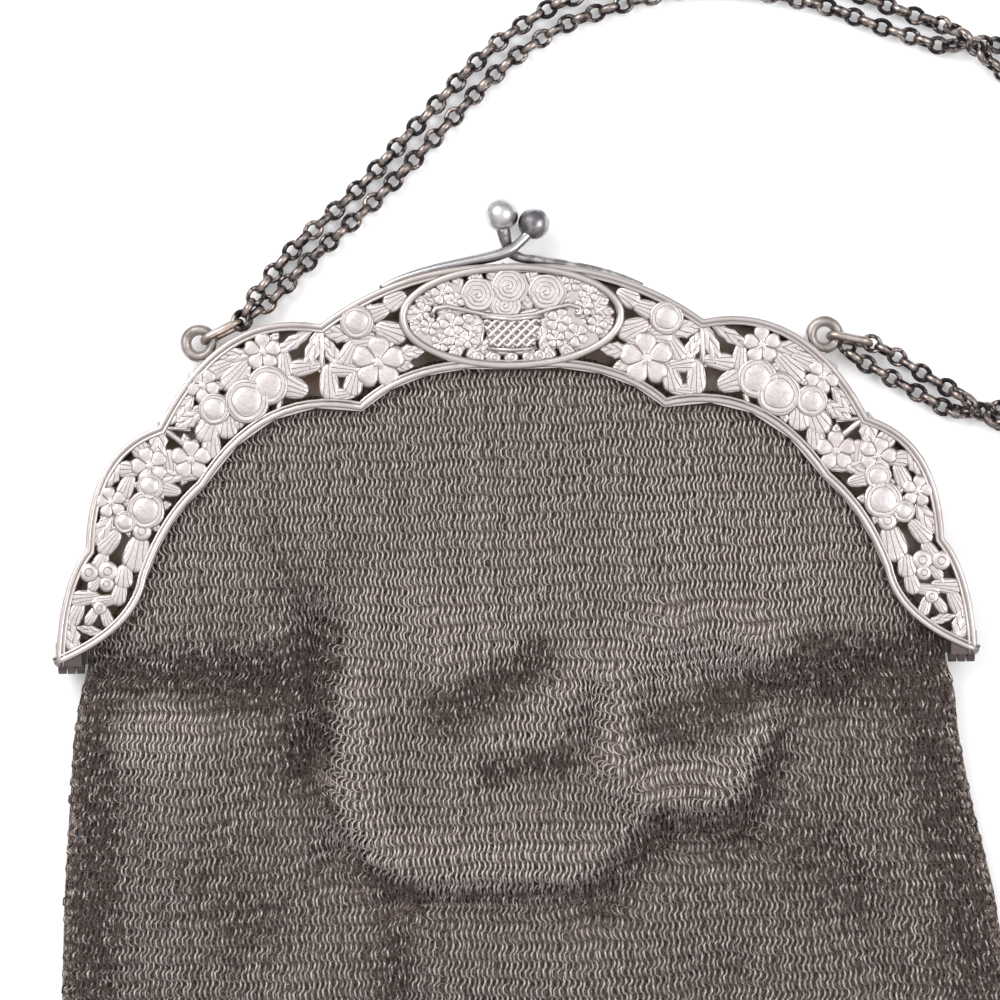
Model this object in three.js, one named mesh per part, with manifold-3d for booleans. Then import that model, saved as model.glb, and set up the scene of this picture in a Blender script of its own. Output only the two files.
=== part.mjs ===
// Metal mesh purse with a pierced kiss-lock frame and a double chain handle, lying on its back
// Millimetres, +X across, +Y towards the clasp, +Z up out of the front face, floor at z = 0.
// The shapes below are laid out from the hinge line at y = 0 and moved to the part's origin at the end
import * as THREE from 'three';
import * as BufferGeometryUtils from 'three/addons/utils/BufferGeometryUtils.js';
import Module from 'manifold-3d';

const wasm = await Module();
wasm.setup();

// Triangles of one flat face are joined where they lie this close to it
const flatTolerance = 0.01;

// Frame sizes
const frameWidth = 160;
const frameRise = 68;
const halfDepth = 5;
const partingGap = 0.3;
const plateThickness = 1;
const rimWidth = 1.3;
const rimLift = 0.4;
const innerLip = 1.6;
const reliefLift = 0.5;
const ringWidth = 1.3;

// Hinge sizes
const barrelLength = 4.5;
const barrelRadius = 1.55;
const barrelDrop = 0.9;
const pinRadius = 0.6;
const boreClearance = 0.16;
const fitGap = 0.3;
const lugHeight = 4.1;

// Clasp sizes
const backBallRadius = 2.68;
const frontBallRadius = 2.55;
const armDepth = 2.6;
const armThickness = 2.2;
const armTipThickness = 0.35;
const stemRadius = 1;

// Carrying ear and end link sizes
const earOuterRadius = 3.1;
const earHoleRadius = 1.6;
const earThickness = 1.3;
const linkLength = 8.5;
const linkHeight = 4.4;
const linkWireRadius = 0.55;

// Chain and bag sizes
const strandRadius = 1.6;
const bagDrop = 112;
const meshThickness = 1;
const tuckIn = 2.3;
const bagHeight = 9;
const bagEdgeHeight = 2.8;

// Values that follow from the sizes
const halfWidth = frameWidth / 2;
const closedDepth = 2 * halfDepth + partingGap;
const middleZ = closedDepth / 2;
const frontFlangeZ = halfDepth + partingGap;
const frontTopZ = closedDepth + rimLift;
const knuckleWidth = (barrelLength - 2 * fitGap) / 3;

// Lobes of the scalloped outer edge, from the top centre to the right tip:
// shares of half width across and of the rise up, each lobe a parabola through its middle
const outerLobes = [
  { from: [0, 0.998], through: [0.22, 0.968], to: [0.416, 0.852] },
  { from: [0.416, 0.852], through: [0.615, 0.813], to: [0.77, 0.597] },
  { from: [0.77, 0.597], through: [0.888, 0.49], to: [0.932, 0.284] },
  { from: [0.932, 0.284], through: [0.98, 0.165], to: [1, -0.012] },
];

// Lobes of the arch that the mesh hangs from, in the same shares
const archLobes = [
  { from: [0, 0.73], through: [0.19, 0.716], to: [0.328, 0.628] },
  { from: [0.328, 0.628], through: [0.518, 0.61], to: [0.672, 0.44] },
  { from: [0.672, 0.44], through: [0.745, 0.342], to: [0.8, 0.21] },
  { from: [0.8, 0.21], through: [0.86, 0.085], to: [1, -0.012] },
];

// Oval ring round the middle of the top, in the same shares
const medallion = { up: 0.865, acrossRadius: 0.237, upRadius: 0.125 };

// The ornament was charted with the half width at this many times the rise
const chartAspect = 80 / 68;

// Ornament of the right wing, mirrored to the left one. across is a share of the half width, up of
// the rise, reach is half the length as a share of the half width, slim is width over length, and
// turn is the direction of the tip in degrees
const wingOrnament = [
  { kind: 'petal', across: 0.253, up: 0.91, reach: 0.026, slim: 0.75, turn: -30 },
  { kind: 'petal', across: 0.293, up: 0.88, reach: 0.029, slim: 0.62, turn: -20 },
  { kind: 'rose', across: 0.336, up: 0.856, reach: 0.033 },
  { kind: 'petal', across: 0.263, up: 0.83, reach: 0.034, slim: 0.62, turn: 200 },
  { kind: 'petal', across: 0.322, up: 0.812, reach: 0.026, slim: 0.8, turn: 0 },
  { kind: 'leaf', across: 0.375, up: 0.828, reach: 0.039, slim: 0.48, turn: 12 },
  { kind: 'petal', across: 0.354, up: 0.778, reach: 0.03, slim: 0.58, turn: -62 },
  { kind: 'leaf', across: 0.226, up: 0.775, reach: 0.036, slim: 0.45, turn: 172 },
  { kind: 'blossom', across: 0.291, up: 0.752, reach: 0.05, turn: 20 },
  { kind: 'petal', across: 0.366, up: 0.737, reach: 0.031, slim: 0.55, turn: 8 },
  { kind: 'petal', across: 0.345, up: 0.7, reach: 0.028, slim: 0.68, turn: -75 },
  { kind: 'petal', across: 0.366, up: 0.671, reach: 0.027, slim: 0.5, turn: -8 },
  { kind: 'petal', across: 0.399, up: 0.703, reach: 0.037, slim: 0.52, turn: -92 },
  { kind: 'leaf', across: 0.391, up: 0.777, reach: 0.036, slim: 0.4, turn: 68 },
  { kind: 'stem', across: 0.413, up: 0.79, reach: 0.052, slim: 0.13, turn: 92 },
  { kind: 'leaf', across: 0.434, up: 0.783, reach: 0.052, slim: 0.28, turn: -72 },
  { kind: 'leaf', across: 0.476, up: 0.806, reach: 0.05, slim: 0.28, turn: -32 },
  { kind: 'petal', across: 0.451, up: 0.743, reach: 0.034, slim: 0.5, turn: -8 },
  { kind: 'petal', across: 0.494, up: 0.752, reach: 0.03, slim: 0.52, turn: -95 },
  { kind: 'petal', across: 0.475, up: 0.691, reach: 0.03, slim: 0.75, turn: 20 },
  { kind: 'blossom', across: 0.542, up: 0.783, reach: 0.036, turn: 90 },
  { kind: 'leaf', across: 0.601, up: 0.775, reach: 0.038, slim: 0.4, turn: -4 },
  { kind: 'petal', across: 0.636, up: 0.742, reach: 0.03, slim: 0.62, turn: -24 },
  { kind: 'rose', across: 0.531, up: 0.698, reach: 0.039 },
  { kind: 'rose', across: 0.577, up: 0.658, reach: 0.043 },
  { kind: 'petal', across: 0.6, up: 0.727, reach: 0.04, slim: 0.55, turn: -48 },
  { kind: 'stem', across: 0.508, up: 0.642, reach: 0.024, slim: 0.26, turn: -78 },
  { kind: 'blossom', across: 0.673, up: 0.7, reach: 0.033, turn: 54 },
  { kind: 'leaf', across: 0.72, up: 0.638, reach: 0.04, slim: 0.45, turn: -48 },
  { kind: 'rose', across: 0.648, up: 0.639, reach: 0.031 },
  { kind: 'leaf', across: 0.703, up: 0.614, reach: 0.034, slim: 0.5, turn: -30 },
  { kind: 'petal', across: 0.621, up: 0.595, reach: 0.026, slim: 0.8, turn: -90 },
  { kind: 'petal', across: 0.66, up: 0.592, reach: 0.034, slim: 0.7, turn: -62 },
  { kind: 'petal', across: 0.656, up: 0.546, reach: 0.028, slim: 0.68, turn: -84 },
  { kind: 'stem', across: 0.735, up: 0.591, reach: 0.034, slim: 0.14, turn: 3 },
  { kind: 'stem', across: 0.733, up: 0.567, reach: 0.042, slim: 0.15, turn: 38 },
  { kind: 'leaf', across: 0.771, up: 0.56, reach: 0.037, slim: 0.5, turn: -88 },
  { kind: 'blossom', across: 0.7, up: 0.51, reach: 0.038, turn: 18 },
  { kind: 'petal', across: 0.702, up: 0.475, reach: 0.03, slim: 0.5, turn: 0 },
  { kind: 'petal', across: 0.748, up: 0.503, reach: 0.028, slim: 0.7, turn: 80 },
  { kind: 'leaf', across: 0.747, up: 0.467, reach: 0.036, slim: 0.42, turn: -6 },
  { kind: 'petal', across: 0.804, up: 0.531, reach: 0.028, slim: 0.65, turn: 50 },
  { kind: 'blossom', across: 0.79, up: 0.496, reach: 0.036, turn: 72 },
  { kind: 'petal', across: 0.833, up: 0.488, reach: 0.028, slim: 0.6, turn: 0 },
  { kind: 'leaf', across: 0.873, up: 0.474, reach: 0.035, slim: 0.48, turn: -52 },
  { kind: 'petal', across: 0.842, up: 0.443, reach: 0.029, slim: 0.55, turn: -66 },
  { kind: 'rose', across: 0.79, up: 0.444, reach: 0.026 },
  { kind: 'petal', across: 0.752, up: 0.436, reach: 0.028, slim: 0.52, turn: 14 },
  { kind: 'rose', across: 0.8, up: 0.383, reach: 0.037 },
  { kind: 'blossom', across: 0.876, up: 0.404, reach: 0.03, turn: 80 },
  { kind: 'rose', across: 0.845, up: 0.354, reach: 0.022 },
  { kind: 'leaf', across: 0.897, up: 0.332, reach: 0.042, slim: 0.46, turn: -52 },
  { kind: 'bud', across: 0.809, up: 0.329, reach: 0.019 },
  { kind: 'petal', across: 0.88, up: 0.302, reach: 0.031, slim: 0.58, turn: -48 },
  { kind: 'petal', across: 0.82, up: 0.272, reach: 0.038, slim: 0.72, turn: -78 },
  { kind: 'petal', across: 0.9, up: 0.25, reach: 0.024, slim: 0.66, turn: -62 },
  { kind: 'bud', across: 0.925, up: 0.226, reach: 0.019 },
  { kind: 'bud', across: 0.884, up: 0.228, reach: 0.02 },
  { kind: 'petal', across: 0.85, up: 0.214, reach: 0.025, slim: 0.75, turn: -86 },
  { kind: 'bud', across: 0.887, up: 0.196, reach: 0.015 },
  { kind: 'petal', across: 0.913, up: 0.197, reach: 0.019, slim: 0.6, turn: -50 },
  { kind: 'petal', across: 0.86, up: 0.172, reach: 0.026, slim: 0.6, turn: -76 },
  { kind: 'petal', across: 0.89, up: 0.153, reach: 0.031, slim: 0.4, turn: -10 },
  { kind: 'petal', across: 0.937, up: 0.161, reach: 0.033, slim: 0.48, turn: -6 },
  { kind: 'stem', across: 0.924, up: 0.18, reach: 0.018, slim: 0.4, turn: -70 },
  { kind: 'petal', across: 0.889, up: 0.112, reach: 0.024, slim: 0.5, turn: -108 },
  { kind: 'petal', across: 0.918, up: 0.118, reach: 0.026, slim: 0.42, turn: -56 },
  { kind: 'bud', across: 0.903, up: 0.135, reach: 0.014 },
  { kind: 'leaf', across: 0.922, up: 0.077, reach: 0.033, slim: 0.3, turn: 14 },
  { kind: 'petal', across: 0.957, up: 0.12, reach: 0.03, slim: 0.55, turn: -62 },
  { kind: 'leaf', across: 0.966, up: 0.062, reach: 0.04, slim: 0.45, turn: 78 },
];

// Ornament inside the oval ring, in the same columns
const medallionOrnament = [
  { kind: 'rose', across: -0.069, up: 0.922, reach: 0.037 },
  { kind: 'rose', across: 0.001, up: 0.938, reach: 0.039 },
  { kind: 'rose', across: 0.083, up: 0.926, reach: 0.038 },
  { kind: 'blossom', across: -0.135, up: 0.923, reach: 0.031, turn: 100 },
  { kind: 'blossom', across: 0.145, up: 0.93, reach: 0.03, turn: 90 },
  { kind: 'leaf', across: -0.187, up: 0.908, reach: 0.028, slim: 0.48, turn: 172 },
  { kind: 'leaf', across: 0.187, up: 0.918, reach: 0.028, slim: 0.4, turn: -20 },
  { kind: 'petal', across: 0.174, up: 0.896, reach: 0.028, slim: 0.62, turn: -70 },
  { kind: 'petal', across: -0.205, up: 0.872, reach: 0.028, slim: 0.72, turn: 178 },
  { kind: 'petal', across: 0.195, up: 0.847, reach: 0.026, slim: 0.75, turn: -16 },
  { kind: 'petal', across: -0.198, up: 0.84, reach: 0.026, slim: 0.72, turn: 204 },
  { kind: 'blossom', across: 0.122, up: 0.846, reach: 0.034, turn: 0 },
  { kind: 'blossom', across: 0.16, up: 0.812, reach: 0.034, turn: 40 },
  { kind: 'blossom', across: -0.137, up: 0.84, reach: 0.036, turn: 30 },
  { kind: 'blossom', across: -0.175, up: 0.806, reach: 0.032, turn: 70 },
  { kind: 'leaf', across: 0.083, up: 0.832, reach: 0.038, slim: 0.55, turn: 62 },
  { kind: 'leaf', across: -0.085, up: 0.832, reach: 0.038, slim: 0.55, turn: 118 },
  { kind: 'leaf', across: 0.108, up: 0.799, reach: 0.034, slim: 0.5, turn: -14 },
  { kind: 'leaf', across: -0.112, up: 0.799, reach: 0.034, slim: 0.5, turn: 194 },
  { kind: 'petal', across: 0.118, up: 0.776, reach: 0.026, slim: 0.55, turn: -60 },
  { kind: 'petal', across: -0.122, up: 0.775, reach: 0.026, slim: 0.5, turn: -124 },
  { kind: 'stem', across: -0.107, up: 0.881, reach: 0.05, slim: 0.16, turn: 6 },
  { kind: 'stem', across: 0.107, up: 0.884, reach: 0.05, slim: 0.16, turn: -4 },
  { kind: 'stem', across: -0.035, up: 0.874, reach: 0.036, slim: 0.2, turn: -12 },
  { kind: 'stem', across: 0.035, up: 0.874, reach: 0.036, slim: 0.2, turn: 12 },
  { kind: 'basket', across: 0, up: 0.822, reach: 0.061, slim: 0.64, turn: 0 },
  { kind: 'stem', across: 0, up: 0.774, reach: 0.07, slim: 0.1, turn: 0 },
  { kind: 'bud', across: -0.074, up: 0.762, reach: 0.013 },
  { kind: 'bud', across: -0.038, up: 0.76, reach: 0.012 },
  { kind: 'bud', across: 0, up: 0.76, reach: 0.012 },
  { kind: 'bud', across: 0.034, up: 0.76, reach: 0.012 },
  { kind: 'bud', across: 0.06, up: 0.764, reach: 0.013 },
];

// Folds and dents of the bag's front, each a soft ridge (lift above 0) or groove along a straight
// stretch. across is a share of the half width, down of the bag's drop, spread of the half width,
// and lift of the bag's height
const bagFolds = [
  { from: [-0.1, 0.13], to: [-0.08, 0.24], spread: 0.26, lift: 0.26 },
  { from: [-0.36, 0.08], to: [-0.37, 0.26], spread: 0.075, lift: 0.2 },
  { from: [-0.37, 0.26], to: [-0.25, 0.33], spread: 0.075, lift: 0.2 },
  { from: [-0.25, 0.33], to: [0.14, 0.335], spread: 0.075, lift: 0.18 },
  { from: [0.14, 0.335], to: [0.25, 0.26], spread: 0.075, lift: 0.18 },
  { from: [-0.475, -0.04], to: [-0.455, 0.17], spread: 0.055, lift: -0.38 },
  { from: [-0.455, 0.17], to: [-0.4, 0.31], spread: 0.055, lift: -0.26 },
  { from: [-0.4, 0.31], to: [-0.27, 0.385], spread: 0.055, lift: -0.26 },
  { from: [-0.27, 0.385], to: [0.17, 0.39], spread: 0.055, lift: -0.24 },
  { from: [0.17, 0.39], to: [0.3, 0.3], spread: 0.055, lift: -0.26 },
  { from: [0.24, 0.05], to: [0.225, 0.17], spread: 0.05, lift: 0.22 },
  { from: [0.225, 0.17], to: [0.31, 0.225], spread: 0.055, lift: 0.26 },
  { from: [0.31, 0.225], to: [0.44, 0.225], spread: 0.055, lift: 0.28 },
  { from: [0.44, 0.225], to: [0.54, 0.14], spread: 0.055, lift: 0.24 },
  { from: [0.17, 0.06], to: [0.165, 0.15], spread: 0.04, lift: -0.2 },
  { from: [0.33, 0.285], to: [0.48, 0.285], spread: 0.05, lift: -0.26 },
  { from: [0.48, 0.285], to: [0.6, 0.14], spread: 0.05, lift: -0.22 },
  { from: [0.12, 0.05], to: [0.36, -0.045], spread: 0.06, lift: 0.2 },
  { from: [0.36, -0.045], to: [0.56, -0.03], spread: 0.05, lift: 0.2 },
  { from: [0.56, -0.03], to: [0.72, 0.04], spread: 0.05, lift: 0.18 },
  { from: [0.46, 0.05], to: [0.74, 0.085], spread: 0.055, lift: -0.26 },
  { from: [-0.95, 0.03], to: [-0.58, 0.05], spread: 0.06, lift: -0.26 },
  { from: [0.76, 0.04], to: [0.93, 0.04], spread: 0.06, lift: -0.24 },
  { from: [-0.17, -0.05], to: [-0.14, 0.05], spread: 0.06, lift: 0.14 },
  { from: [0.03, 0.02], to: [-0.1, 0.06], spread: 0.06, lift: -0.14 },
  { from: [-0.06, 0.19], to: [0.06, 0.19], spread: 0.05, lift: -0.1 },
  { from: [-0.86, 0.13], to: [-0.72, 0.13], spread: 0.08, lift: 0.12 },
  { from: [-0.74, 0.24], to: [-0.73, 0.42], spread: 0.09, lift: 0.14 },
  { from: [-0.25, 0.42], to: [-0.24, 0.58], spread: 0.05, lift: -0.16 },
  { from: [0.7, 0.32], to: [0.78, 0.52], spread: 0.07, lift: -0.16 },
  { from: [-0.48, 0.52], to: [-0.52, 0.88], spread: 0.09, lift: 0.14 },
  { from: [0.14, 0.48], to: [0.08, 0.9], spread: 0.1, lift: 0.16 },
  { from: [0.42, 0.5], to: [0.45, 0.86], spread: 0.07, lift: -0.14 },
  { from: [0.84, 0.6], to: [0.8, 0.86], spread: 0.08, lift: 0.12 },
];

// Side edges of the bag: down is a share of the drop, left and right of the half width
const bagSides = [
  { down: -0.04, left: 0.936, right: 0.936 },
  { down: 0.022, left: 0.937, right: 0.937 },
  { down: 0.04, left: 0.952, right: 0.954 },
  { down: 0.12, left: 0.971, right: 0.962 },
  { down: 0.235, left: 0.984, right: 0.991 },
  { down: 0.375, left: 0.998, right: 1.038 },
  { down: 0.525, left: 1.006, right: 1.068 },
  { down: 0.7, left: 1.01, right: 1.066 },
  { down: 0.84, left: 1.0, right: 1.045 },
  { down: 0.92, left: 0.982, right: 1.02 },
  { down: 0.97, left: 0.95, right: 0.985 },
  { down: 1, left: 0.9, right: 0.935 },
];

// Where the ears stand, as shares, and the direction in which each end link lies, in degrees
const ears = [
  { side: 'left', across: -0.685, up: 0.811, lie: 26 },
  { side: 'right', across: 0.685, up: 0.811, lie: -12 },
];

// Route of the double chain between the end links, chosen by hand. across is a share of the half
// width and up of the rise, lie is the height of the lower strand and spread half the distance
// between the strands, both as multiples of the strand's radius, and twist is in degrees
const chainRoute = [
  { across: -0.537, up: 0.935, lie: 1.38, spread: 1.22, twist: 0 },
  { across: -0.459, up: 1.037, lie: 1.06, spread: 1.38, twist: 0 },
  { across: -0.319, up: 1.185, lie: 1.06, spread: 1.38, twist: 0 },
  { across: -0.186, up: 1.346, lie: 1.06, spread: 1.41, twist: 0 },
  { across: -0.053, up: 1.507, lie: 1.06, spread: 1.38, twist: 0 },
  { across: 0.044, up: 1.597, lie: 1.06, spread: 1.38, twist: 0 },
  { across: 0.169, up: 1.671, lie: 1.06, spread: 1.38, twist: 0 },
  { across: 0.419, up: 1.738, lie: 1.06, spread: 1.38, twist: 0 },
  { across: 0.662, up: 1.7, lie: 1.06, spread: 1.38, twist: 0 },
  { across: 0.825, up: 1.632, lie: 1.06, spread: 1.38, twist: 0 },
  { across: 0.931, up: 1.587, lie: 1.06, spread: 1.31, twist: 0 },
  { across: 1.012, up: 1.556, lie: 1.06, spread: 1.22, twist: 90 },
  { across: 1.094, up: 1.509, lie: 1.06, spread: 1.31, twist: 180 },
  { across: 1.212, up: 1.382, lie: 1.06, spread: 1.38, twist: 180 },
  { across: 1.288, up: 1.191, lie: 1.06, spread: 1.38, twist: 180 },
  { across: 1.306, up: 0.971, lie: 1.06, spread: 1.38, twist: 180 },
  { across: 1.269, up: 0.772, lie: 1.06, spread: 1.38, twist: 180 },
  { across: 1.188, up: 0.647, lie: 1.06, spread: 1.31, twist: 180 },
  { across: 1.106, up: 0.597, lie: 1.06, spread: 1.28, twist: 180 },
  { across: 1.022, up: 0.606, lie: 1.06, spread: 1.22, twist: 270 },
  { across: 0.94, up: 0.651, lie: 1.06, spread: 1.22, twist: 360 },
  { across: 0.88, up: 0.693, lie: 1.06, spread: 1.22, twist: 360 },
  { across: 0.835, up: 0.726, lie: 1.25, spread: 1.34, twist: 360 },
];

// Where each strand begins and ends beside an end link's far bow: along and aside of the link and
// height over the floor, as multiples of the strand's radius. side 1 is on the left of the route
const strandEnds = {
  chain_strand_left: {
    side: 1,
    start: { ear: 'left', along: 0, aside: 1.35, lie: 1.8 },
    finish: { ear: 'right', along: -1.5, aside: -1.7, lie: 1.65 },
  },
  chain_strand_right: {
    side: -1,
    start: { ear: 'left', along: 2, aside: -0.32, lie: 1.65 },
    finish: { ear: 'right', along: 0.65, aside: 0.25, lie: 1.8 },
  },
};

// Closed mesh to a solid that can be cut and joined, and back
function toSolid(geometry) {
  const bare = geometry.clone();
  bare.deleteAttribute('normal');
  bare.deleteAttribute('uv');
  const merged = BufferGeometryUtils.mergeVertices(bare, 1e-4);
  const mesh = new wasm.Mesh({
    numProp: 3,
    vertProperties: new Float32Array(merged.attributes.position.array),
    triVerts: new Uint32Array(merged.index.array),
  });
  return new wasm.Manifold(mesh);
}

function toGeometry(solid) {
  const mesh = solid.asOriginal().simplify(flatTolerance).getMesh();
  const geometry = new THREE.BufferGeometry();
  geometry.setAttribute('position', new THREE.BufferAttribute(mesh.vertProperties, 3));
  geometry.setIndex(new THREE.BufferAttribute(mesh.triVerts, 1));
  geometry.computeVertexNormals();
  return geometry;
}

function union(solids) {
  return solids.reduce((sum, next) => sum.add(next));
}

// Upright block over a flat outline of [x, y] points
function prism(points, lowZ, highZ) {
  const shape = new THREE.Shape(points.map(([x, y]) => new THREE.Vector2(x, y)));
  const geometry = new THREE.ExtrudeGeometry(shape, { depth: highZ - lowZ, bevelEnabled: false });
  geometry.translate(0, 0, lowZ);
  return toSolid(geometry);
}

// Round bar along X between two places, centred on y and z
function barAlongX(radius, lowX, highX, y, z) {
  const geometry = new THREE.CylinderGeometry(radius, radius, highX - lowX, 10);
  geometry.rotateZ(Math.PI / 2);
  geometry.translate((lowX + highX) / 2, y, z);
  return toSolid(geometry);
}

function box(low, high) {
  const size = high.map((value, axis) => value - low[axis]);
  const geometry = new THREE.BoxGeometry(...size);
  geometry.translate(...low.map((value, axis) => value + size[axis] / 2));
  return toSolid(geometry);
}

// Edge line from the left tip over the top to the right tip
function edgeLine(lobes, steps) {
  const place = ([across, up]) => new THREE.Vector2(across * halfWidth, up * frameRise);
  const right = [];
  for (const lobe of lobes) {
    const start = place(lobe.from);
    const end = place(lobe.to);
    const middle = place(lobe.through);
    const control = middle.clone().multiplyScalar(2).addScaledVector(start, -0.5).addScaledVector(end, -0.5);
    const curve = new THREE.QuadraticBezierCurve(start, control, end);
    right.push(...curve.getPoints(steps).slice(right.length ? 1 : 0));
  }
  const left = right.slice(1).reverse().map((point) => [-point.x, point.y]);
  return [...left, ...right.map((point) => [point.x, point.y])];
}

// The same line moved sideways, to the left of its direction where distance is above 0
function moveSideways(line, distance) {
  return line.map(([x, y], index) => {
    const before = line[Math.max(index - 1, 0)];
    const after = line[Math.min(index + 1, line.length - 1)];
    const arriving = new THREE.Vector2(x - before[0], y - before[1]);
    const leaving = new THREE.Vector2(after[0] - x, after[1] - y);
    if (arriving.length() === 0) arriving.copy(leaving);
    if (leaving.length() === 0) leaving.copy(arriving);
    arriving.normalize();
    leaving.normalize();
    const along = arriving.clone().add(leaving).normalize();
    const reach = distance / Math.max(along.dot(arriving), 0.6);
    return [x - along.y * reach, y + along.x * reach];
  });
}

// Height of an edge line at a place across
function heightOn(line, x) {
  for (let index = 1; index < line.length; index += 1) {
    const [lowX, lowY] = line[index - 1];
    const [highX, highY] = line[index];
    if (x >= lowX && x <= highX && highX > lowX) {
      return lowY + ((highY - lowY) * (x - lowX)) / (highX - lowX);
    }
  }
  return line[0][1];
}

const outerLine = edgeLine(outerLobes, 5);
const archLine = edgeLine(archLobes, 4);

function bandBetween(lowZ, highZ) {
  return prism([...outerLine, ...archLine.slice().reverse()], lowZ, highZ);
}

function outerRim(width, lowZ, highZ) {
  return prism([...outerLine, ...moveSideways(outerLine, -width).reverse()], lowZ, highZ);
}

function archRim(width, lowZ, highZ) {
  return prism([...archLine, ...moveSideways(archLine, width).reverse()], lowZ, highZ);
}

function oval(grow, count) {
  return Array.from({ length: count }, (_, index) => {
    const angle = (index / count) * 2 * Math.PI;
    return [
      (medallion.acrossRadius * halfWidth + grow) * Math.cos(angle),
      medallion.up * frameRise + (medallion.upRadius * frameRise + grow) * Math.sin(angle),
    ];
  });
}

function medallionRing(lowZ, highZ) {
  return prism(oval(ringWidth / 2, 28), lowZ, highZ).subtract(prism(oval(-ringWidth / 2, 28), lowZ - 1, highZ + 1));
}

// Flat outline of one ornament: points along its reach and across it, as shares of the reach
const motifOutlines = {
  leaf: () => [[-1, 0], [-0.1, -0.95], [1, 0], [-0.1, 0.95]],
  petal: () => [[-1, 0], [-0.4, -1], [0.6, -0.9], [1, 0], [0.6, 0.9], [-0.4, 1]],
  stem: () => [[-1, -1], [1, -1], [1, 1], [-1, 1]],
  basket: () => [[-0.8, -1], [0.8, -1], [1, 1], [-1, 1]],
  bud: () => roundOutline(5, 1.05, 1.05),
  rose: () => roundOutline(8, 1, 1),
  blossom: () => roundOutline(10, 1.05, 0.72),
};

function roundOutline(count, tipReach, dipReach) {
  return Array.from({ length: count }, (_, index) => {
    const angle = (index / count) * 2 * Math.PI;
    const reach = index % 2 ? dipReach : tipReach;
    return [reach * Math.cos(angle), reach * Math.sin(angle)];
  });
}

function placeMotif(motif) {
  const turn = THREE.MathUtils.degToRad(motif.turn ?? 0);
  return motifOutlines[motif.kind]().map(([along, aside]) => {
    const length = along * motif.reach;
    const width = aside * motif.reach * (motif.slim ?? 1);
    const across = motif.across + length * Math.cos(turn) - width * Math.sin(turn);
    const up = motif.up + (length * Math.sin(turn) + width * Math.cos(turn)) * chartAspect;
    return [across * halfWidth, up * frameRise];
  });
}

function mirrored(motif) {
  return { ...motif, across: -motif.across, turn: 180 - (motif.turn ?? 0) };
}

// How far each kind of motif stands above the plate, as a share of the relief
const motifLift = { rose: 1, blossom: 0.7, bud: 0.5, basket: 0.5 };

// Pierced and chased plate of the front half
function ornament() {
  const motifs = [...wingOrnament, ...wingOrnament.map(mirrored), ...medallionOrnament];
  return union(motifs.map((motif) => {
    const top = closedDepth + reliefLift * (motifLift[motif.kind] ?? 0);
    return prism(placeMotif(motif), closedDepth - plateThickness, top);
  }));
}

// Which way each knuckle of a hinge barrel goes: the two outer ones back, the middle one front
function knuckles(side) {
  const spans = [0, 1, 2].map((index) => {
    const start = halfWidth - barrelLength + index * (knuckleWidth + fitGap);
    return side > 0 ? [start, start + knuckleWidth] : [-start - knuckleWidth, -start];
  });
  return { back: [spans[0], spans[2]], front: [spans[1]] };
}

// Bar along both hinge lines
function hingeBars(radius) {
  return union([-1, 1].map((side) => {
    const lowX = side > 0 ? halfWidth - barrelLength : -halfWidth;
    return barAlongX(radius, lowX - 1, lowX + barrelLength + 1, -barrelDrop, middleZ);
  }));
}

// Solid corners that fill the tips of one half
function tipLugs(lowZ, highZ) {
  return union([-1, 1].map((side) => {
    const lowX = side > 0 ? halfWidth - barrelLength : -halfWidth;
    return box([lowX, -barrelDrop, lowZ], [lowX + barrelLength, lugHeight - barrelDrop, highZ]);
  }));
}

// Knuckles of one half, each with a web up to its lug
function halfKnuckles(half, lowZ, highZ) {
  return union([-1, 1].flatMap((side) => knuckles(side)[half].map(([start, end]) => (
    barAlongX(barrelRadius, start, end, -barrelDrop, middleZ)
      .add(box([start, -barrelDrop, lowZ], [end, lugHeight - barrelDrop, highZ]))
  ))));
}

// One half of the frame with its hinge: open round the other half's knuckles and bored for the pins
function hinged(body, half, lowZ, highZ) {
  return union([body, tipLugs(lowZ, highZ)])
    .subtract(hingeBars(barrelRadius + fitGap))
    .add(halfKnuckles(half, lowZ, highZ))
    .subtract(hingeBars(pinRadius + boreClearance));
}

function frontHalf() {
  const pierced = union([
    outerRim(rimWidth, closedDepth - plateThickness, frontTopZ),
    archRim(rimWidth, closedDepth - innerLip, frontTopZ),
    medallionRing(closedDepth - plateThickness, frontTopZ),
    ornament(),
  ]).intersect(bandBetween(0, frontTopZ + reliefLift));
  const flange = outerRim(rimWidth, frontFlangeZ, closedDepth).intersect(bandBetween(0, closedDepth));
  return hinged(pierced.add(flange), 'front', frontFlangeZ, closedDepth);
}

// Flat ring with a foot that is soldered to the back half's wall
function carryingEar(ear) {
  const centre = [ear.across * halfWidth, ear.up * frameRise];
  const lowZ = earLowZ();
  const ring = (radius) => roundOutline(14, radius, radius).map(([x, y]) => [centre[0] + x, centre[1] + y]);
  const side = Math.sign(ear.across);
  const foot = [[-0.75, -0.5], [0.75, -0.5], [0.75, -1.35], [-0.75, -1.35]].map(([aside, out]) => {
    const turn = side * THREE.MathUtils.degToRad(-46);
    const [x, y] = [aside * earOuterRadius, out * earOuterRadius];
    return [centre[0] + x * Math.cos(turn) - y * Math.sin(turn), centre[1] + x * Math.sin(turn) + y * Math.cos(turn)];
  });
  return prism(ring(earOuterRadius), lowZ, lowZ + earThickness)
    .add(prism(foot, lowZ, lowZ + earThickness))
    .subtract(prism(ring(earHoleRadius), lowZ - 1, lowZ + earThickness + 1));
}

// The ears stand a little below the middle of the back half's wall
function earLowZ() {
  return (halfDepth - earThickness) * 0.7;
}

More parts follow.
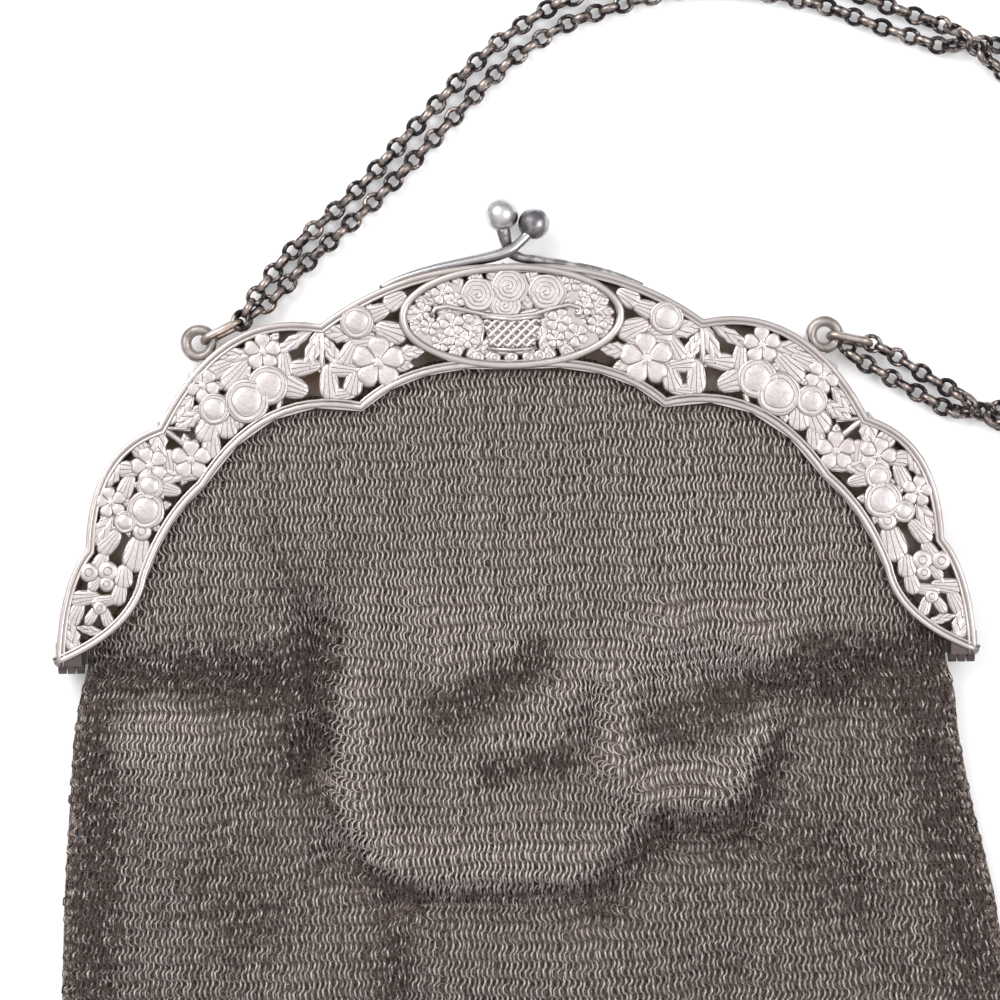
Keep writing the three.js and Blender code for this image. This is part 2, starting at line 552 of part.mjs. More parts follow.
function backHalf() {
  const plate = bandBetween(0, plateThickness);
  const flange = outerRim(rimWidth, 0, halfDepth).intersect(bandBetween(-1, halfDepth + 1));
  const lip = archRim(rimWidth, 0, innerLip).intersect(bandBetween(-1, halfDepth + 1));
  return hinged(union([plate, flange, lip, ...ears.map(carryingEar)]), 'back', 0, halfDepth);
}

function hingePin(side) {
  const inset = fitGap / 3;
  const lowX = side > 0 ? halfWidth - barrelLength : -halfWidth;
  return barAlongX(pinRadius, lowX + inset, lowX + barrelLength - inset, -barrelDrop, middleZ);
}

// Clasp arms: from is where the arm starts on the frame, to where its stem stands, both as shares of
// the half width, and thick is the arm's thickness there as a share of the arms' thickness
const claspArms = {
  front: { from: -0.25, to: 0.058, thick: 0.95, ball: [0.051, 1.1], radius: frontBallRadius },
  back: { from: 0.25, to: -0.024, thick: 1.05, ball: [-0.019, 1.127], radius: backBallRadius },
};

function clasp(half) {
  const arm = claspArms[half];
  const thickness = arm.thick * armThickness;
  const steps = 10;
  const under = [];
  const over = [];
  for (let index = 0; index <= steps; index += 1) {
    const share = index / steps;
    const x = (arm.from + (arm.to - arm.from) * share) * halfWidth;
    const y = heightOn(outerLine, x) + fitGap;
    under.push([x, y]);
    over.push([x, y + armTipThickness + (thickness - armTipThickness) * Math.sin((share * Math.PI) / 2)]);
  }
  const lowZ = half === 'front' ? frontFlangeZ + fitGap / 2 : halfDepth - fitGap / 2 - armDepth;
  const strip = prism([...under, ...over.reverse()], lowZ, lowZ + armDepth);
  const ballCentre = new THREE.Vector3(arm.ball[0] * halfWidth, arm.ball[1] * frameRise, middleZ);
  const footX = (arm.to + Math.sign(arm.from) * 0.014) * halfWidth;
  const foot = new THREE.Vector3(footX, heightOn(outerLine, footX) + thickness * 0.6, lowZ + armDepth / 2);
  const round = roundOutline(8, stemRadius, stemRadius);
  const stemShape = new THREE.Shape(round.map(([x, y]) => new THREE.Vector2(x, y)));
  const stem = new THREE.ExtrudeGeometry(stemShape, { steps: 1, extrudePath: new THREE.LineCurve3(foot, ballCentre) });
  const ball = new THREE.SphereGeometry(arm.radius, 12, 8);
  ball.translate(...ballCentre.toArray());
  return union([strip, toSolid(stem), toSolid(ball)]);
}

// Long round-ended wire link, standing on edge through an ear
function endLinkFrame(ear) {
  const turn = THREE.MathUtils.degToRad(ear.lie);
  const centre = new THREE.Vector3(ear.across * halfWidth, ear.up * frameRise, earLowZ() + earThickness / 2);
  const along = new THREE.Vector3(Math.cos(turn), Math.sin(turn), 0);
  const start = earHoleRadius - fitGap - 2 * linkWireRadius;
  return { centre, along, start, end: start + linkLength };
}

function endLink(ear) {
  const { centre, along, start, end } = endLinkFrame(ear);
  const bend = linkHeight / 2 - linkWireRadius;
  const path = [];
  for (const [middle, from] of [[end - linkHeight / 2, -90], [start + linkHeight / 2, 90]]) {
    for (let index = 0; index <= 4; index += 1) {
      const angle = THREE.MathUtils.degToRad(from + index * 45);
      const outward = new THREE.Vector3().addScaledVector(along, Math.cos(angle)).setZ(Math.sin(angle));
      path.push({ point: centre.clone().addScaledVector(along, middle).addScaledVector(outward, bend), outward });
    }
  }
  const aside = new THREE.Vector3(-along.y, along.x, 0);
  const sides = 6;
  const positions = [];
  const indices = [];
  path.forEach(({ point, outward }, station) => {
    for (let corner = 0; corner < sides; corner += 1) {
      const angle = (corner / sides) * 2 * Math.PI;
      const place = point.clone()
        .addScaledVector(outward, linkWireRadius * Math.cos(angle))
        .addScaledVector(aside, linkWireRadius * Math.sin(angle));
      positions.push(...place.toArray());
      const next = (station + 1) % path.length;
      const [a, b] = [station * sides + corner, station * sides + ((corner + 1) % sides)];
      const [c, d] = [next * sides + corner, next * sides + ((corner + 1) % sides)];
      indices.push(a, b, d, a, d, c);
    }
  });
  const geometry = new THREE.BufferGeometry();
  geometry.setAttribute('position', new THREE.Float32BufferAttribute(positions, 3));
  geometry.setIndex(indices);
  return outwardFacing(toSolid(geometry));
}

// A closed mesh wound inside out has a volume below 0
function outwardFacing(solid) {
  if (solid.volume() >= 0) return solid;
  const mesh = solid.getMesh();
  const flipped = Uint32Array.from(mesh.triVerts);
  for (let index = 0; index < flipped.length; index += 3) {
    [flipped[index], flipped[index + 1]] = [flipped[index + 1], flipped[index]];
  }
  return new wasm.Manifold(new wasm.Mesh({ numProp: 3, vertProperties: mesh.vertProperties, triVerts: flipped }));
}

// Place beside an end link's far bow
function besideLink({ ear, along, aside, lie }) {
  const link = endLinkFrame(ears.find((row) => row.side === ear));
  const place = link.centre.clone().addScaledVector(link.along, link.end + along * strandRadius);
  place.addScaledVector(new THREE.Vector3(-link.along.y, link.along.x, 0), aside * strandRadius);
  return place.setZ(lie * strandRadius);
}

// One strand of the chain as a plain round bar along its route
function chainStrand({ side, start, finish }) {
  const middle = new THREE.CatmullRomCurve3(chainRoute.map((row) => (
    new THREE.Vector3(row.across * halfWidth, row.up * frameRise, row.lie * strandRadius)
  )));
  const perRow = 4;
  const last = (chainRoute.length - 1) * perRow;
  const points = [besideLink(start)];
  for (let index = 0; index <= last; index += 1) {
    const row = chainRoute[Math.floor(index / perRow)];
    const next = chainRoute[Math.min(Math.floor(index / perRow) + 1, chainRoute.length - 1)];
    const share = (index % perRow) / perRow;
    const spread = (row.spread + (next.spread - row.spread) * share) * strandRadius;
    const twist = THREE.MathUtils.degToRad(row.twist + (next.twist - row.twist) * share);
    const place = middle.getPoint(index / last);
    const along = middle.getTangent(index / last);
    const aside = new THREE.Vector3(-along.y, along.x, 0).normalize();
    place.addScaledVector(aside, side * spread * Math.cos(twist));
    place.z += spread * (side * Math.sin(twist) + Math.abs(Math.sin(twist)));
    points.push(place);
  }
  points.push(besideLink(finish));
  const round = roundOutline(8, strandRadius, strandRadius);
  const section = new THREE.Shape(round.map(([x, y]) => new THREE.Vector2(x, y)));
  const path = new THREE.CatmullRomCurve3(points);
  return toSolid(new THREE.ExtrudeGeometry(section, { steps: 41, bevelEnabled: false, extrudePath: path }));
}

// Value of a column of a table at a place, straight between its rows
function tableAt(rows, column, at) {
  const index = rows.findIndex((row) => row.down >= at);
  if (index === 0) return rows[0][column];
  if (index < 0) return rows[rows.length - 1][column];
  const low = rows[index - 1];
  const high = rows[index];
  return low[column] + ((high[column] - low[column]) * (at - low.down)) / (high.down - low.down);
}

// Lift of all folds together at a place, as a share of the bag's height
function foldLift(across, down) {
  const aspect = bagDrop / halfWidth;
  return bagFolds.reduce((sum, fold) => {
    const alongX = fold.to[0] - fold.from[0];
    const alongY = (fold.to[1] - fold.from[1]) * aspect;
    const offX = across - fold.from[0];
    const offY = (down - fold.from[1]) * aspect;
    const share = THREE.MathUtils.clamp((offX * alongX + offY * alongY) / (alongX ** 2 + alongY ** 2), 0, 1);
    const distance = Math.hypot(offX - share * alongX, offY - share * alongY);
    return sum + fold.lift * Math.exp(-((distance / fold.spread) ** 2));
  }, 0);
}

// Point of one bag wall: across runs from -1 to 1 between the side seams, run from 0 at the mouth to 1
// at the bottom seam, face is 1 for the front wall and -1 for the back one, inset is how far inside
// the outer skin the point lies
function bagPoint(across, run, face, inset) {
  const mouthLine = moveSideways(archLine, tuckIn);
  const mouthX = across * (tableAt(bagSides, across < 0 ? 'left' : 'right', 0) * halfWidth - inset);
  const mouthY = Math.max(heightOn(mouthLine, mouthX), lugHeight - barrelDrop);
  const y = mouthY + (-bagDrop + inset - mouthY) * run;
  const down = -y / bagDrop;
  const x = across * (tableAt(bagSides, across < 0 ? 'left' : 'right', down) * halfWidth - inset);
  const sideClose = Math.sqrt(Math.max(1 - Math.abs(across) ** 7, 0));
  const bottomClose = Math.sqrt(Math.max(1 - THREE.MathUtils.clamp((run - 0.9) / 0.1, 0, 1) ** 2, 0));
  const clear = THREE.MathUtils.smoothstep(mouthY - y, tuckIn + rimWidth, tuckIn + rimWidth + 10);
  const sag = THREE.MathUtils.smoothstep(-y, 0, bagDrop / 4);
  const seamZ = THREE.MathUtils.lerp(middleZ, bagEdgeHeight, sag);
  const mouthFront = closedDepth - innerLip - fitGap;
  const frontZ = THREE.MathUtils.lerp(mouthFront, bagHeight * (1 + foldLift(across, down) - 0.18 * run), clear);
  const backZ = THREE.MathUtils.lerp(innerLip + fitGap, 0.1, clear);
  const skinZ = face > 0 ? frontZ - inset : backZ + inset;
  return [x, y, seamZ + (skinZ - seamZ) * sideClose * bottomClose];
}

// Hollow mesh bag: outer and inner skins, joined round the open mouth
function meshBag() {
  const columns = 24;
  const rows = 16;
  const spot = (index) => {
    const even = (2 * index) / columns - 1;
    return 0.72 * even + 0.28 * Math.sin((even * Math.PI) / 2);
  };
  const skin = (face, inset) => Array.from({ length: rows + 1 }, (_, row) => (
    Array.from({ length: columns + 1 }, (_unused, column) => bagPoint(spot(column), (row / rows) ** 1.1, face, inset))
  ));
  const triangles = [];
  const patch = (a, b, c, d, turned) => {
    if (turned) triangles.push(...a, ...c, ...b, ...b, ...c, ...d);
    else triangles.push(...a, ...b, ...c, ...b, ...d, ...c);
  };
  const skins = {
    frontOuter: skin(1, 0),
    backOuter: skin(-1, 0),
    frontInner: skin(1, meshThickness),
    backInner: skin(-1, meshThickness),
  };
  for (const [name, grid] of Object.entries(skins)) {
    const turned = name === 'frontOuter' || name === 'backInner';
    for (let row = 0; row < rows; row += 1) {
      for (let column = 0; column < columns; column += 1) {
        patch(grid[row][column], grid[row][column + 1], grid[row + 1][column], grid[row + 1][column + 1], turned);
      }
    }
  }
  for (let column = 0; column < columns; column += 1) {
    const { frontOuter, frontInner, backOuter, backInner } = skins;
    patch(frontOuter[0][column], frontOuter[0][column + 1], frontInner[0][column], frontInner[0][column + 1], false);
    patch(backOuter[0][column], backOuter[0][column + 1], backInner[0][column], backInner[0][column + 1], true);
  }
  const geometry = new THREE.BufferGeometry();
  geometry.setAttribute('position', new THREE.Float32BufferAttribute(triangles, 3));
  return outwardFacing(toSolid(geometry));
}

// Finished mesh of a solid with its own material, moved so that the part's origin lies on its resting
// face, under the middle of the oval ring
function piece(name, solid, color, roughness, metalness) {
  const material = new THREE.MeshStandardMaterial({ color, roughness, metalness });
  const mesh = new THREE.Mesh(toGeometry(solid.translate([0, -medallion.up * frameRise, 0])), material);
  mesh.name = name;
  return mesh;
}

const group = new THREE.Group();
group.add(
  piece('frame_front', frontHalf(), 0xd8d0cd, 0.35, 1),
  piece('frame_back', backHalf(), 0xb5aba5, 0.4, 1),
  piece('hinge_pin_left', hingePin(-1), 0x9a928e, 0.4, 1),
  piece('hinge_pin_right', hingePin(1), 0x9a928e, 0.4, 1),
  piece('clasp_front', clasp('front'), 0x8f8f96, 0.3, 1),
  piece('clasp_back', clasp('back'), 0xb9b8bc, 0.3, 1),
  ...ears.map((ear) => piece(`end_link_${ear.side}`, endLink(ear), 0xbcb2ab, 0.35, 1)),
  ...Object.entries(strandEnds).map(([name, ends]) => piece(name, chainStrand(ends), 0x5c5656, 0.4, 1)),
  piece('mesh_bag', meshBag(), 0x8c8480, 0.5, 0.9),
);

export default group;
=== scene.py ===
# Metal mesh purse lying on its back: pierced silver frame, two-ball snap clasp, double chain, ring mesh
# Metres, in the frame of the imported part: +X across, +Y towards the clasp, +Z up
import math
import bmesh
import bpy
import numpy as np
from mathutils import Euler, Matrix, Vector


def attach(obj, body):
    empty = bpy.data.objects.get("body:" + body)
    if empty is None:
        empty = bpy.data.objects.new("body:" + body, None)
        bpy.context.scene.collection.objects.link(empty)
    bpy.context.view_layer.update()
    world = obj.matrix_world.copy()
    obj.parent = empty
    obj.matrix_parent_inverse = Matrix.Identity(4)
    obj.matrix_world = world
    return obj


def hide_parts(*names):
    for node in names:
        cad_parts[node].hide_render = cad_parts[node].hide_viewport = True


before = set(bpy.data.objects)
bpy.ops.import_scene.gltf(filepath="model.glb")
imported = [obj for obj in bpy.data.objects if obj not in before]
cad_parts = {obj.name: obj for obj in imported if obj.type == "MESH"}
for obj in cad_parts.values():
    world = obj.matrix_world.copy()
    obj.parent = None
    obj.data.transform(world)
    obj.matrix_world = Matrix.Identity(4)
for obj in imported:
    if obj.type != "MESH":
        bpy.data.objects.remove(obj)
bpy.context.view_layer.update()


# BACK HALF OF THE FRAME
# A plain silver plate with a wall along its scalloped edge and the two ears of the chain soldered to
# it. It was never polished inside, so it has gone brown and orange where the piercing shows it.

def feed(node, inputs):
    # Each input takes a value, or the output of another node
    for name, value in inputs.items():
        if isinstance(value, bpy.types.NodeSocket):
            node.id_data.links.new(value, node.inputs[name])
        else:
            node.inputs[name].default_value = value


def add_node(tree, kind, inputs, **settings):
    # A new shader node, with its settings and inputs
    node = tree.nodes.new("ShaderNode" + kind)
    for name, value in settings.items():
        setattr(node, name, value)
    feed(node, inputs)
    return node


def old_silver_effect():
    # Tarnish in patches and in the hollows, as colour, roughness and fine scratches
    group = bpy.data.node_groups.new("old_silver", "ShaderNodeTree")
    for name in ("Clean", "Tarnish", "Dirt"):
        group.interface.new_socket(name, in_out="INPUT", socket_type="NodeSocketColor")
    for name in ("Patch Size", "Patch Share", "Hollow Depth", "Polish"):
        group.interface.new_socket(name, in_out="INPUT", socket_type="NodeSocketFloat")
    group.interface.new_socket("Color", in_out="OUTPUT", socket_type="NodeSocketColor")
    for name in ("Roughness", "Height"):
        group.interface.new_socket(name, in_out="OUTPUT", socket_type="NodeSocketFloat")
    given = group.nodes.new("NodeGroupInput").outputs
    place = add_node(group, "TexCoord", {}).outputs["Object"]
    # Patches of tarnish
    patches = add_node(group, "TexNoise", {
        "Vector": place, "Scale": given["Patch Size"], "Detail": 5, "Roughness": 0.62})
    sharpen = add_node(group, "MapRange", {
        "Value": patches.outputs["Fac"], "From Min": 0.36, "From Max": 0.68})
    share = add_node(group, "Math", {
        0: sharpen.outputs["Result"], 1: given["Patch Share"]}, operation="MULTIPLY").outputs["Value"]
    tarnished = add_node(group, "Mix", {
        "Factor": share, "A": given["Clean"], "B": given["Tarnish"]}, data_type="RGBA")
    # Dirt in the hollows
    hollow = add_node(group, "AmbientOcclusion", {"Distance": given["Hollow Depth"]}, samples=8)
    open_share = add_node(group, "MapRange", {
        "Value": hollow.outputs["AO"], "From Min": 0.15, "From Max": 0.8})
    dirty = add_node(group, "Mix", {
        "Factor": open_share.outputs["Result"], "A": given["Dirt"], "B": tarnished.outputs["Result"],
    }, data_type="RGBA")
    # Fine scratches, and a duller surface where it is tarnished
    scratches = add_node(group, "TexNoise", {"Vector": place, "Scale": 900, "Detail": 3}).outputs["Fac"]
    duller = add_node(group, "Math", {0: share, 1: 0.22, 2: given["Polish"]}, operation="MULTIPLY_ADD")
    scuffed = add_node(group, "Math", {
        0: scratches, 1: 0.18, 2: duller.outputs["Value"]}, operation="MULTIPLY_ADD")
    feed(group.nodes.new("NodeGroupOutput"), {
        "Color": dirty.outputs["Result"], "Roughness": scuffed.outputs["Value"], "Height": scratches})
    return group


old_silver = old_silver_effect()


def silver(name, clean, tarnish, dirt, patch_size, patch_share, hollow_depth, polish, scratch=0.00002):
    # One silver finish of its own, from the shared effect
    material = bpy.data.materials.new(name)
    material.use_nodes = True
    tree = material.node_tree
    effect = add_node(tree, "Group", {
        "Clean": (*clean, 1), "Tarnish": (*tarnish, 1), "Dirt": (*dirt, 1), "Patch Size": patch_size,
        "Patch Share": patch_share, "Hollow Depth": hollow_depth, "Polish": polish,
    }, node_tree=old_silver)
    bump = add_node(tree, "Bump", {"Strength": 0.5, "Distance": scratch, "Height": effect.outputs["Height"]})
    feed(tree.nodes["Principled BSDF"], {
        "Metallic": 1, "Base Color": effect.outputs["Color"], "Roughness": effect.outputs["Roughness"],
        "Normal": bump.outputs["Normal"],
    })
    return material


def dress(node, material):
    # A part from the CAD keeps its mesh and takes a finish
    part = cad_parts[node]
    part.data.materials.clear()
    part.data.materials.append(material)


def darkened(material, dark, clear_share):
    # The finish of the shared effect where the share is 1, and a dark tone where it is 0
    tree = material.node_tree
    toned = add_node(tree, "Mix", {
        "Factor": clear_share, "A": (*dark, 1), "B": tree.nodes["Group"].outputs["Color"],
    }, data_type="RGBA")
    feed(tree.nodes["Principled BSDF"], {"Base Color": toned.outputs["Result"]})


def sunk(material, depth, clear_share):
    # Relief over the fine scratches, raised where the share is 1
    tree = material.node_tree
    relief = add_node(tree, "Bump", {
        "Distance": depth, "Height": clear_share, "Normal": tree.nodes["Bump"].outputs["Normal"]})
    feed(tree.nodes["Principled BSDF"], {"Normal": relief.outputs["Normal"]})


def part_place(material):
    # The place on the part, across, up and in height
    place = add_node(material.node_tree, "TexCoord", {}).outputs["Object"]
    return add_node(material.node_tree, "SeparateXYZ", {"Vector": place}).outputs


def dark_below(material, line_y, dark, fade=0.002):
    # Grime that covers everything below a line across the part
    above = add_node(material.node_tree, "MapRange", {
        "Value": part_place(material)["Y"], "From Min": line_y, "From Max": line_y + fade})
    darkened(material, dark, above.outputs["Result"])


def brown_at(material, plate_z, brown):
    # Brown tarnish on the one face of the plate that lies at a height, the inner one
    tree = material.node_tree
    effect = tree.nodes["Group"]
    inner = add_node(tree, "Math", {
        0: part_place(material)["Z"], 1: plate_z, 2: plate_z / 20}, operation="COMPARE")
    plain = tuple(effect.inputs["Tarnish"].default_value)
    tarnish = add_node(tree, "Mix", {
        "Factor": inner.outputs["Value"], "A": plain, "B": (*brown, 1)}, data_type="RGBA")
    feed(effect, {"Tarnish": tarnish.outputs["Result"]})


hinge_y = -0.05882
plate_thickness = 0.001
grime_line = hinge_y + 0.0012
back_silver = silver(
    "back_plate_silver", clean=(0.52, 0.46, 0.43), tarnish=(0.34, 0.28, 0.25), dirt=(0.07, 0.045, 0.03),
    patch_size=140, patch_share=1.0, hollow_depth=0.001, polish=0.26,
)
brown_at(back_silver, plate_thickness, brown=(0.44, 0.25, 0.13))
dark_below(back_silver, grime_line, dark=(0.1, 0.085, 0.08))
dress("frame_back", back_silver)


def finish_piece(name, mesh_or_bmesh, material, replaced=()):
    # A new piece, smooth, at the origin, riding on the part
    if isinstance(mesh_or_bmesh, bmesh.types.BMesh):
        mesh = bpy.data.meshes.new(name)
        mesh_or_bmesh.to_mesh(mesh)
        mesh_or_bmesh.free()
    else:
        mesh = mesh_or_bmesh
        mesh.name = name
    mesh.polygons.foreach_set("use_smooth", np.ones(len(mesh.polygons), bool))
    mesh.materials.clear()
    mesh.materials.append(material)
    piece = bpy.data.objects.new(name, mesh)
    bpy.context.scene.collection.objects.link(piece)
    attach(piece, "root")
    if replaced:
        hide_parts(*replaced)


# CARRYING EARS
# Round silver rings soldered to the wall of the back half, lying flat, one on each shoulder. The end
# links of the chain hang in them. Each is a short piece of heavy wire bent round and closed.

# Half the width of the frame and its height over the hinge line; other places are shares of them
half_width = 0.08
rise = 0.068
ear_across = 0.685
ear_up = 0.811
ear_z = 0.00324
ear_ring_radius = 0.00235
ear_wire_radius = 0.00098


def wire_ring(ring_radius, wire_radius, around, section, stretch=1.0):
    # Closed ring of round wire in the XY plane
    ring = bmesh.new()
    bmesh.ops.create_circle(ring, segments=section, radius=wire_radius)
    bmesh.ops.rotate(ring, verts=ring.verts, cent=(0, 0, 0), matrix=Matrix.Rotation(math.pi / 2, 3, "X"))
    bmesh.ops.translate(ring, verts=ring.verts, vec=(ring_radius, 0, 0))
    bmesh.ops.spin(ring, geom=ring.edges[:], cent=(0, 0, 0), axis=(0, 0, 1), steps=around,
                   angle=2 * math.pi, use_merge=True, use_duplicate=False)
    bmesh.ops.remove_doubles(ring, verts=ring.verts, dist=wire_radius / 50)
    bmesh.ops.scale(ring, verts=ring.verts, vec=(stretch, 1, 1))
    bmesh.ops.recalc_face_normals(ring, faces=ring.faces)
    mesh = bpy.data.meshes.new("wire_ring")
    ring.to_mesh(mesh)
    ring.free()
    return mesh


ear_ring = wire_ring(ear_ring_radius, ear_wire_radius, 40, 14)
ears = bmesh.new()
for side in (-1, 1):
    before = len(ears.verts)
    ears.from_mesh(ear_ring)
    ears.verts.ensure_lookup_table()
    place = (side * ear_across * half_width, ear_up * rise + hinge_y, ear_z)
    bmesh.ops.translate(ears, verts=ears.verts[before:], vec=place)
ear_silver = silver(
    "ear_silver", clean=(0.50, 0.45, 0.43), tarnish=(0.2, 0.17, 0.155), dirt=(0.04, 0.03, 0.025),
    patch_size=300, patch_share=1, hollow_depth=0.0016, polish=0.22,
)
finish_piece("carrying_ears", ears, ear_silver)


# FRONT HALF OF THE FRAME
# One silver casting, pierced between the flowers and chased by hand, with a wall that meets the back
# half. Its raised rims are half-round mouldings, worn bright, and dirt has stayed in every hollow.

rim_top = 0.0107
plate_top = 0.0103
# Start, a point passed in the middle, and end of each lobe of the right side, as shares
outer_lobes = (
    ((0, 0.998), (0.22, 0.968), (0.416, 0.852)),
    ((0.416, 0.852), (0.615, 0.813), (0.77, 0.597)),
    ((0.77, 0.597), (0.888, 0.49), (0.932, 0.284)),
    ((0.932, 0.284), (0.98, 0.165), (1, -0.012)),
)
arch_lobes = (
    ((0, 0.73), (0.19, 0.716), (0.328, 0.628)),
    ((0.328, 0.628), (0.518, 0.61), (0.672, 0.44)),
    ((0.672, 0.44), (0.745, 0.342), (0.8, 0.21)),
    ((0.8, 0.21), (0.86, 0.085), (1, -0.012)),
)
medallion_up = 0.865
medallion_across_radius = 0.237
medallion_up_radius = 0.125


def frame_place(across, up):
    # Place on the frame in metres, from shares of its half width and its rise
    return np.array([across * half_width, up * rise + hinge_y])


def edge_line(lobes, steps):
    # Line of a scalloped edge from the left tip over the top to the right tip
    right = []
    for start, through, end in lobes:
        start, through, end = frame_place(*start), frame_place(*through), frame_place(*end)
        control = 2 * through - (start + end) / 2
        for step in range(steps + 1):
            share = step / steps
            if right and step == 0:
                continue
            right.append((1 - share) ** 2 * start + 2 * share * (1 - share) * control + share ** 2 * end)
    right = np.array(right)
    left = right[:0:-1] * [-1, 1]
    return np.vstack([left, right])


def moved_aside(line, distance):
    # The same line moved to the left of its direction
    steps = np.diff(line, axis=0)
    steps /= np.linalg.norm(steps, axis=1)[:, None]
    before = np.vstack([steps[:1], steps])
    after = np.vstack([steps, steps[-1:]])
    along = before + after
    along /= np.linalg.norm(along, axis=1)[:, None]
    reach = distance / np.maximum((along * before).sum(1), 0.6)
    return line + np.stack([-along[:, 1] * reach, along[:, 0] * reach], 1)


def bar_along(points, sizes, section, first_aside, closed=False):
    # Bar along a line in space, as wide and as thick at each point as its sizes say
    bar = bmesh.new()
    points = [Vector(point) for point in points]
    count = len(points)
    aside = Vector(first_aside)
    rings = []
    for index, point in enumerate(points):
        before = points[index - 1] if index or closed else point
        after = points[(index + 1) % count] if index < count - 1 or closed else point
        along = (after - before).normalized()
        aside = (aside - aside.dot(along) * along).normalized()
        cap = not closed and index in (0, count - 1)
        made = bmesh.ops.create_circle(bar, cap_ends=cap, segments=section, radius=1)["verts"]
        turn = Matrix((aside, along.cross(aside), along)).transposed().to_4x4()
        put = Matrix.Translation(point) @ turn @ Matrix.Diagonal((*sizes[index], 1, 1))
        bmesh.ops.transform(bar, matrix=put, verts=made)
        rings.append(set(edge for corner in made for edge in corner.link_edges))
    following = rings[1:] + (rings[:1] if closed else [])
    for low, high in zip(rings, following):
        bmesh.ops.bridge_loops(bar, edges=list(low | high))
    bmesh.ops.recalc_face_normals(bar, faces=bar.faces)
    mesh = bpy.data.meshes.new("bar")
    bar.to_mesh(mesh)
    bar.free()
    return mesh


def moulding(points, height, half_wide, half_high, closed=False):
    # Bar of oval section along a flat line
    ahead_x, ahead_y = points[1] - points[0]
    line = [(x, y, height) for x, y in points]
    return bar_along(line, [(half_wide, half_high)] * len(line), 10, (-ahead_y, ahead_x, 0), closed)


outer_line = edge_line(outer_lobes, 14)
arch_line = edge_line(arch_lobes, 14)
oval_angles = np.linspace(0, 2 * math.pi, 72, endpoint=False)
oval_line = np.stack([
    medallion_across_radius * half_width * np.cos(oval_angles),
    medallion_up * rise + hinge_y + medallion_up_radius * rise * np.sin(oval_angles),
], 1)

rims = bmesh.new()
# Line, height of its middle, half width, half thickness, and whether it closes on itself
for points, height, wide, high, closed in (
    (moved_aside(outer_line, -0.0005), rim_top - 0.0001, 0.00052, 0.0004, False),
    (moved_aside(outer_line, -0.0013), rim_top - 0.00015, 0.00028, 0.00025, False),
    (moved_aside(arch_line, 0.00055), rim_top - 0.0001, 0.00055, 0.0004, False),
    (moved_aside(arch_line, 0.00132), rim_top - 0.00015, 0.00026, 0.00025, False),
    (oval_line, rim_top, 0.0007, 0.00055, True),
):
    rims.from_mesh(moulding(points, height, wide, high, closed))
front_silver = silver(
    "front_plate_silver", clean=(0.60, 0.55, 0.53), tarnish=(0.45, 0.39, 0.37), dirt=(0.09, 0.06, 0.045),
    patch_size=160, patch_share=0.8, hollow_depth=0.0009, polish=0.2,
)
rim_silver = silver(
    "rim_silver", clean=(0.60, 0.555, 0.535), tarnish=(0.40, 0.335, 0.31), dirt=(0.2, 0.15, 0.12),
    patch_size=120, patch_share=0.7, hollow_depth=0.0004, polish=0.18,
)
dark_below(front_silver, grime_line, dark=(0.12, 0.1, 0.09))
dress("frame_front", front_silver)
finish_piece("frame_rims", rims, rim_silver)


# CHASED FLOWERS, LEAVES AND BASKET
# The raised work of the front casting: roses, five-petalled blossoms and leaf sprays round a basket of
# roses in the oval. Each is a soft dome with its veins and petals cut in by the chaser's tools.

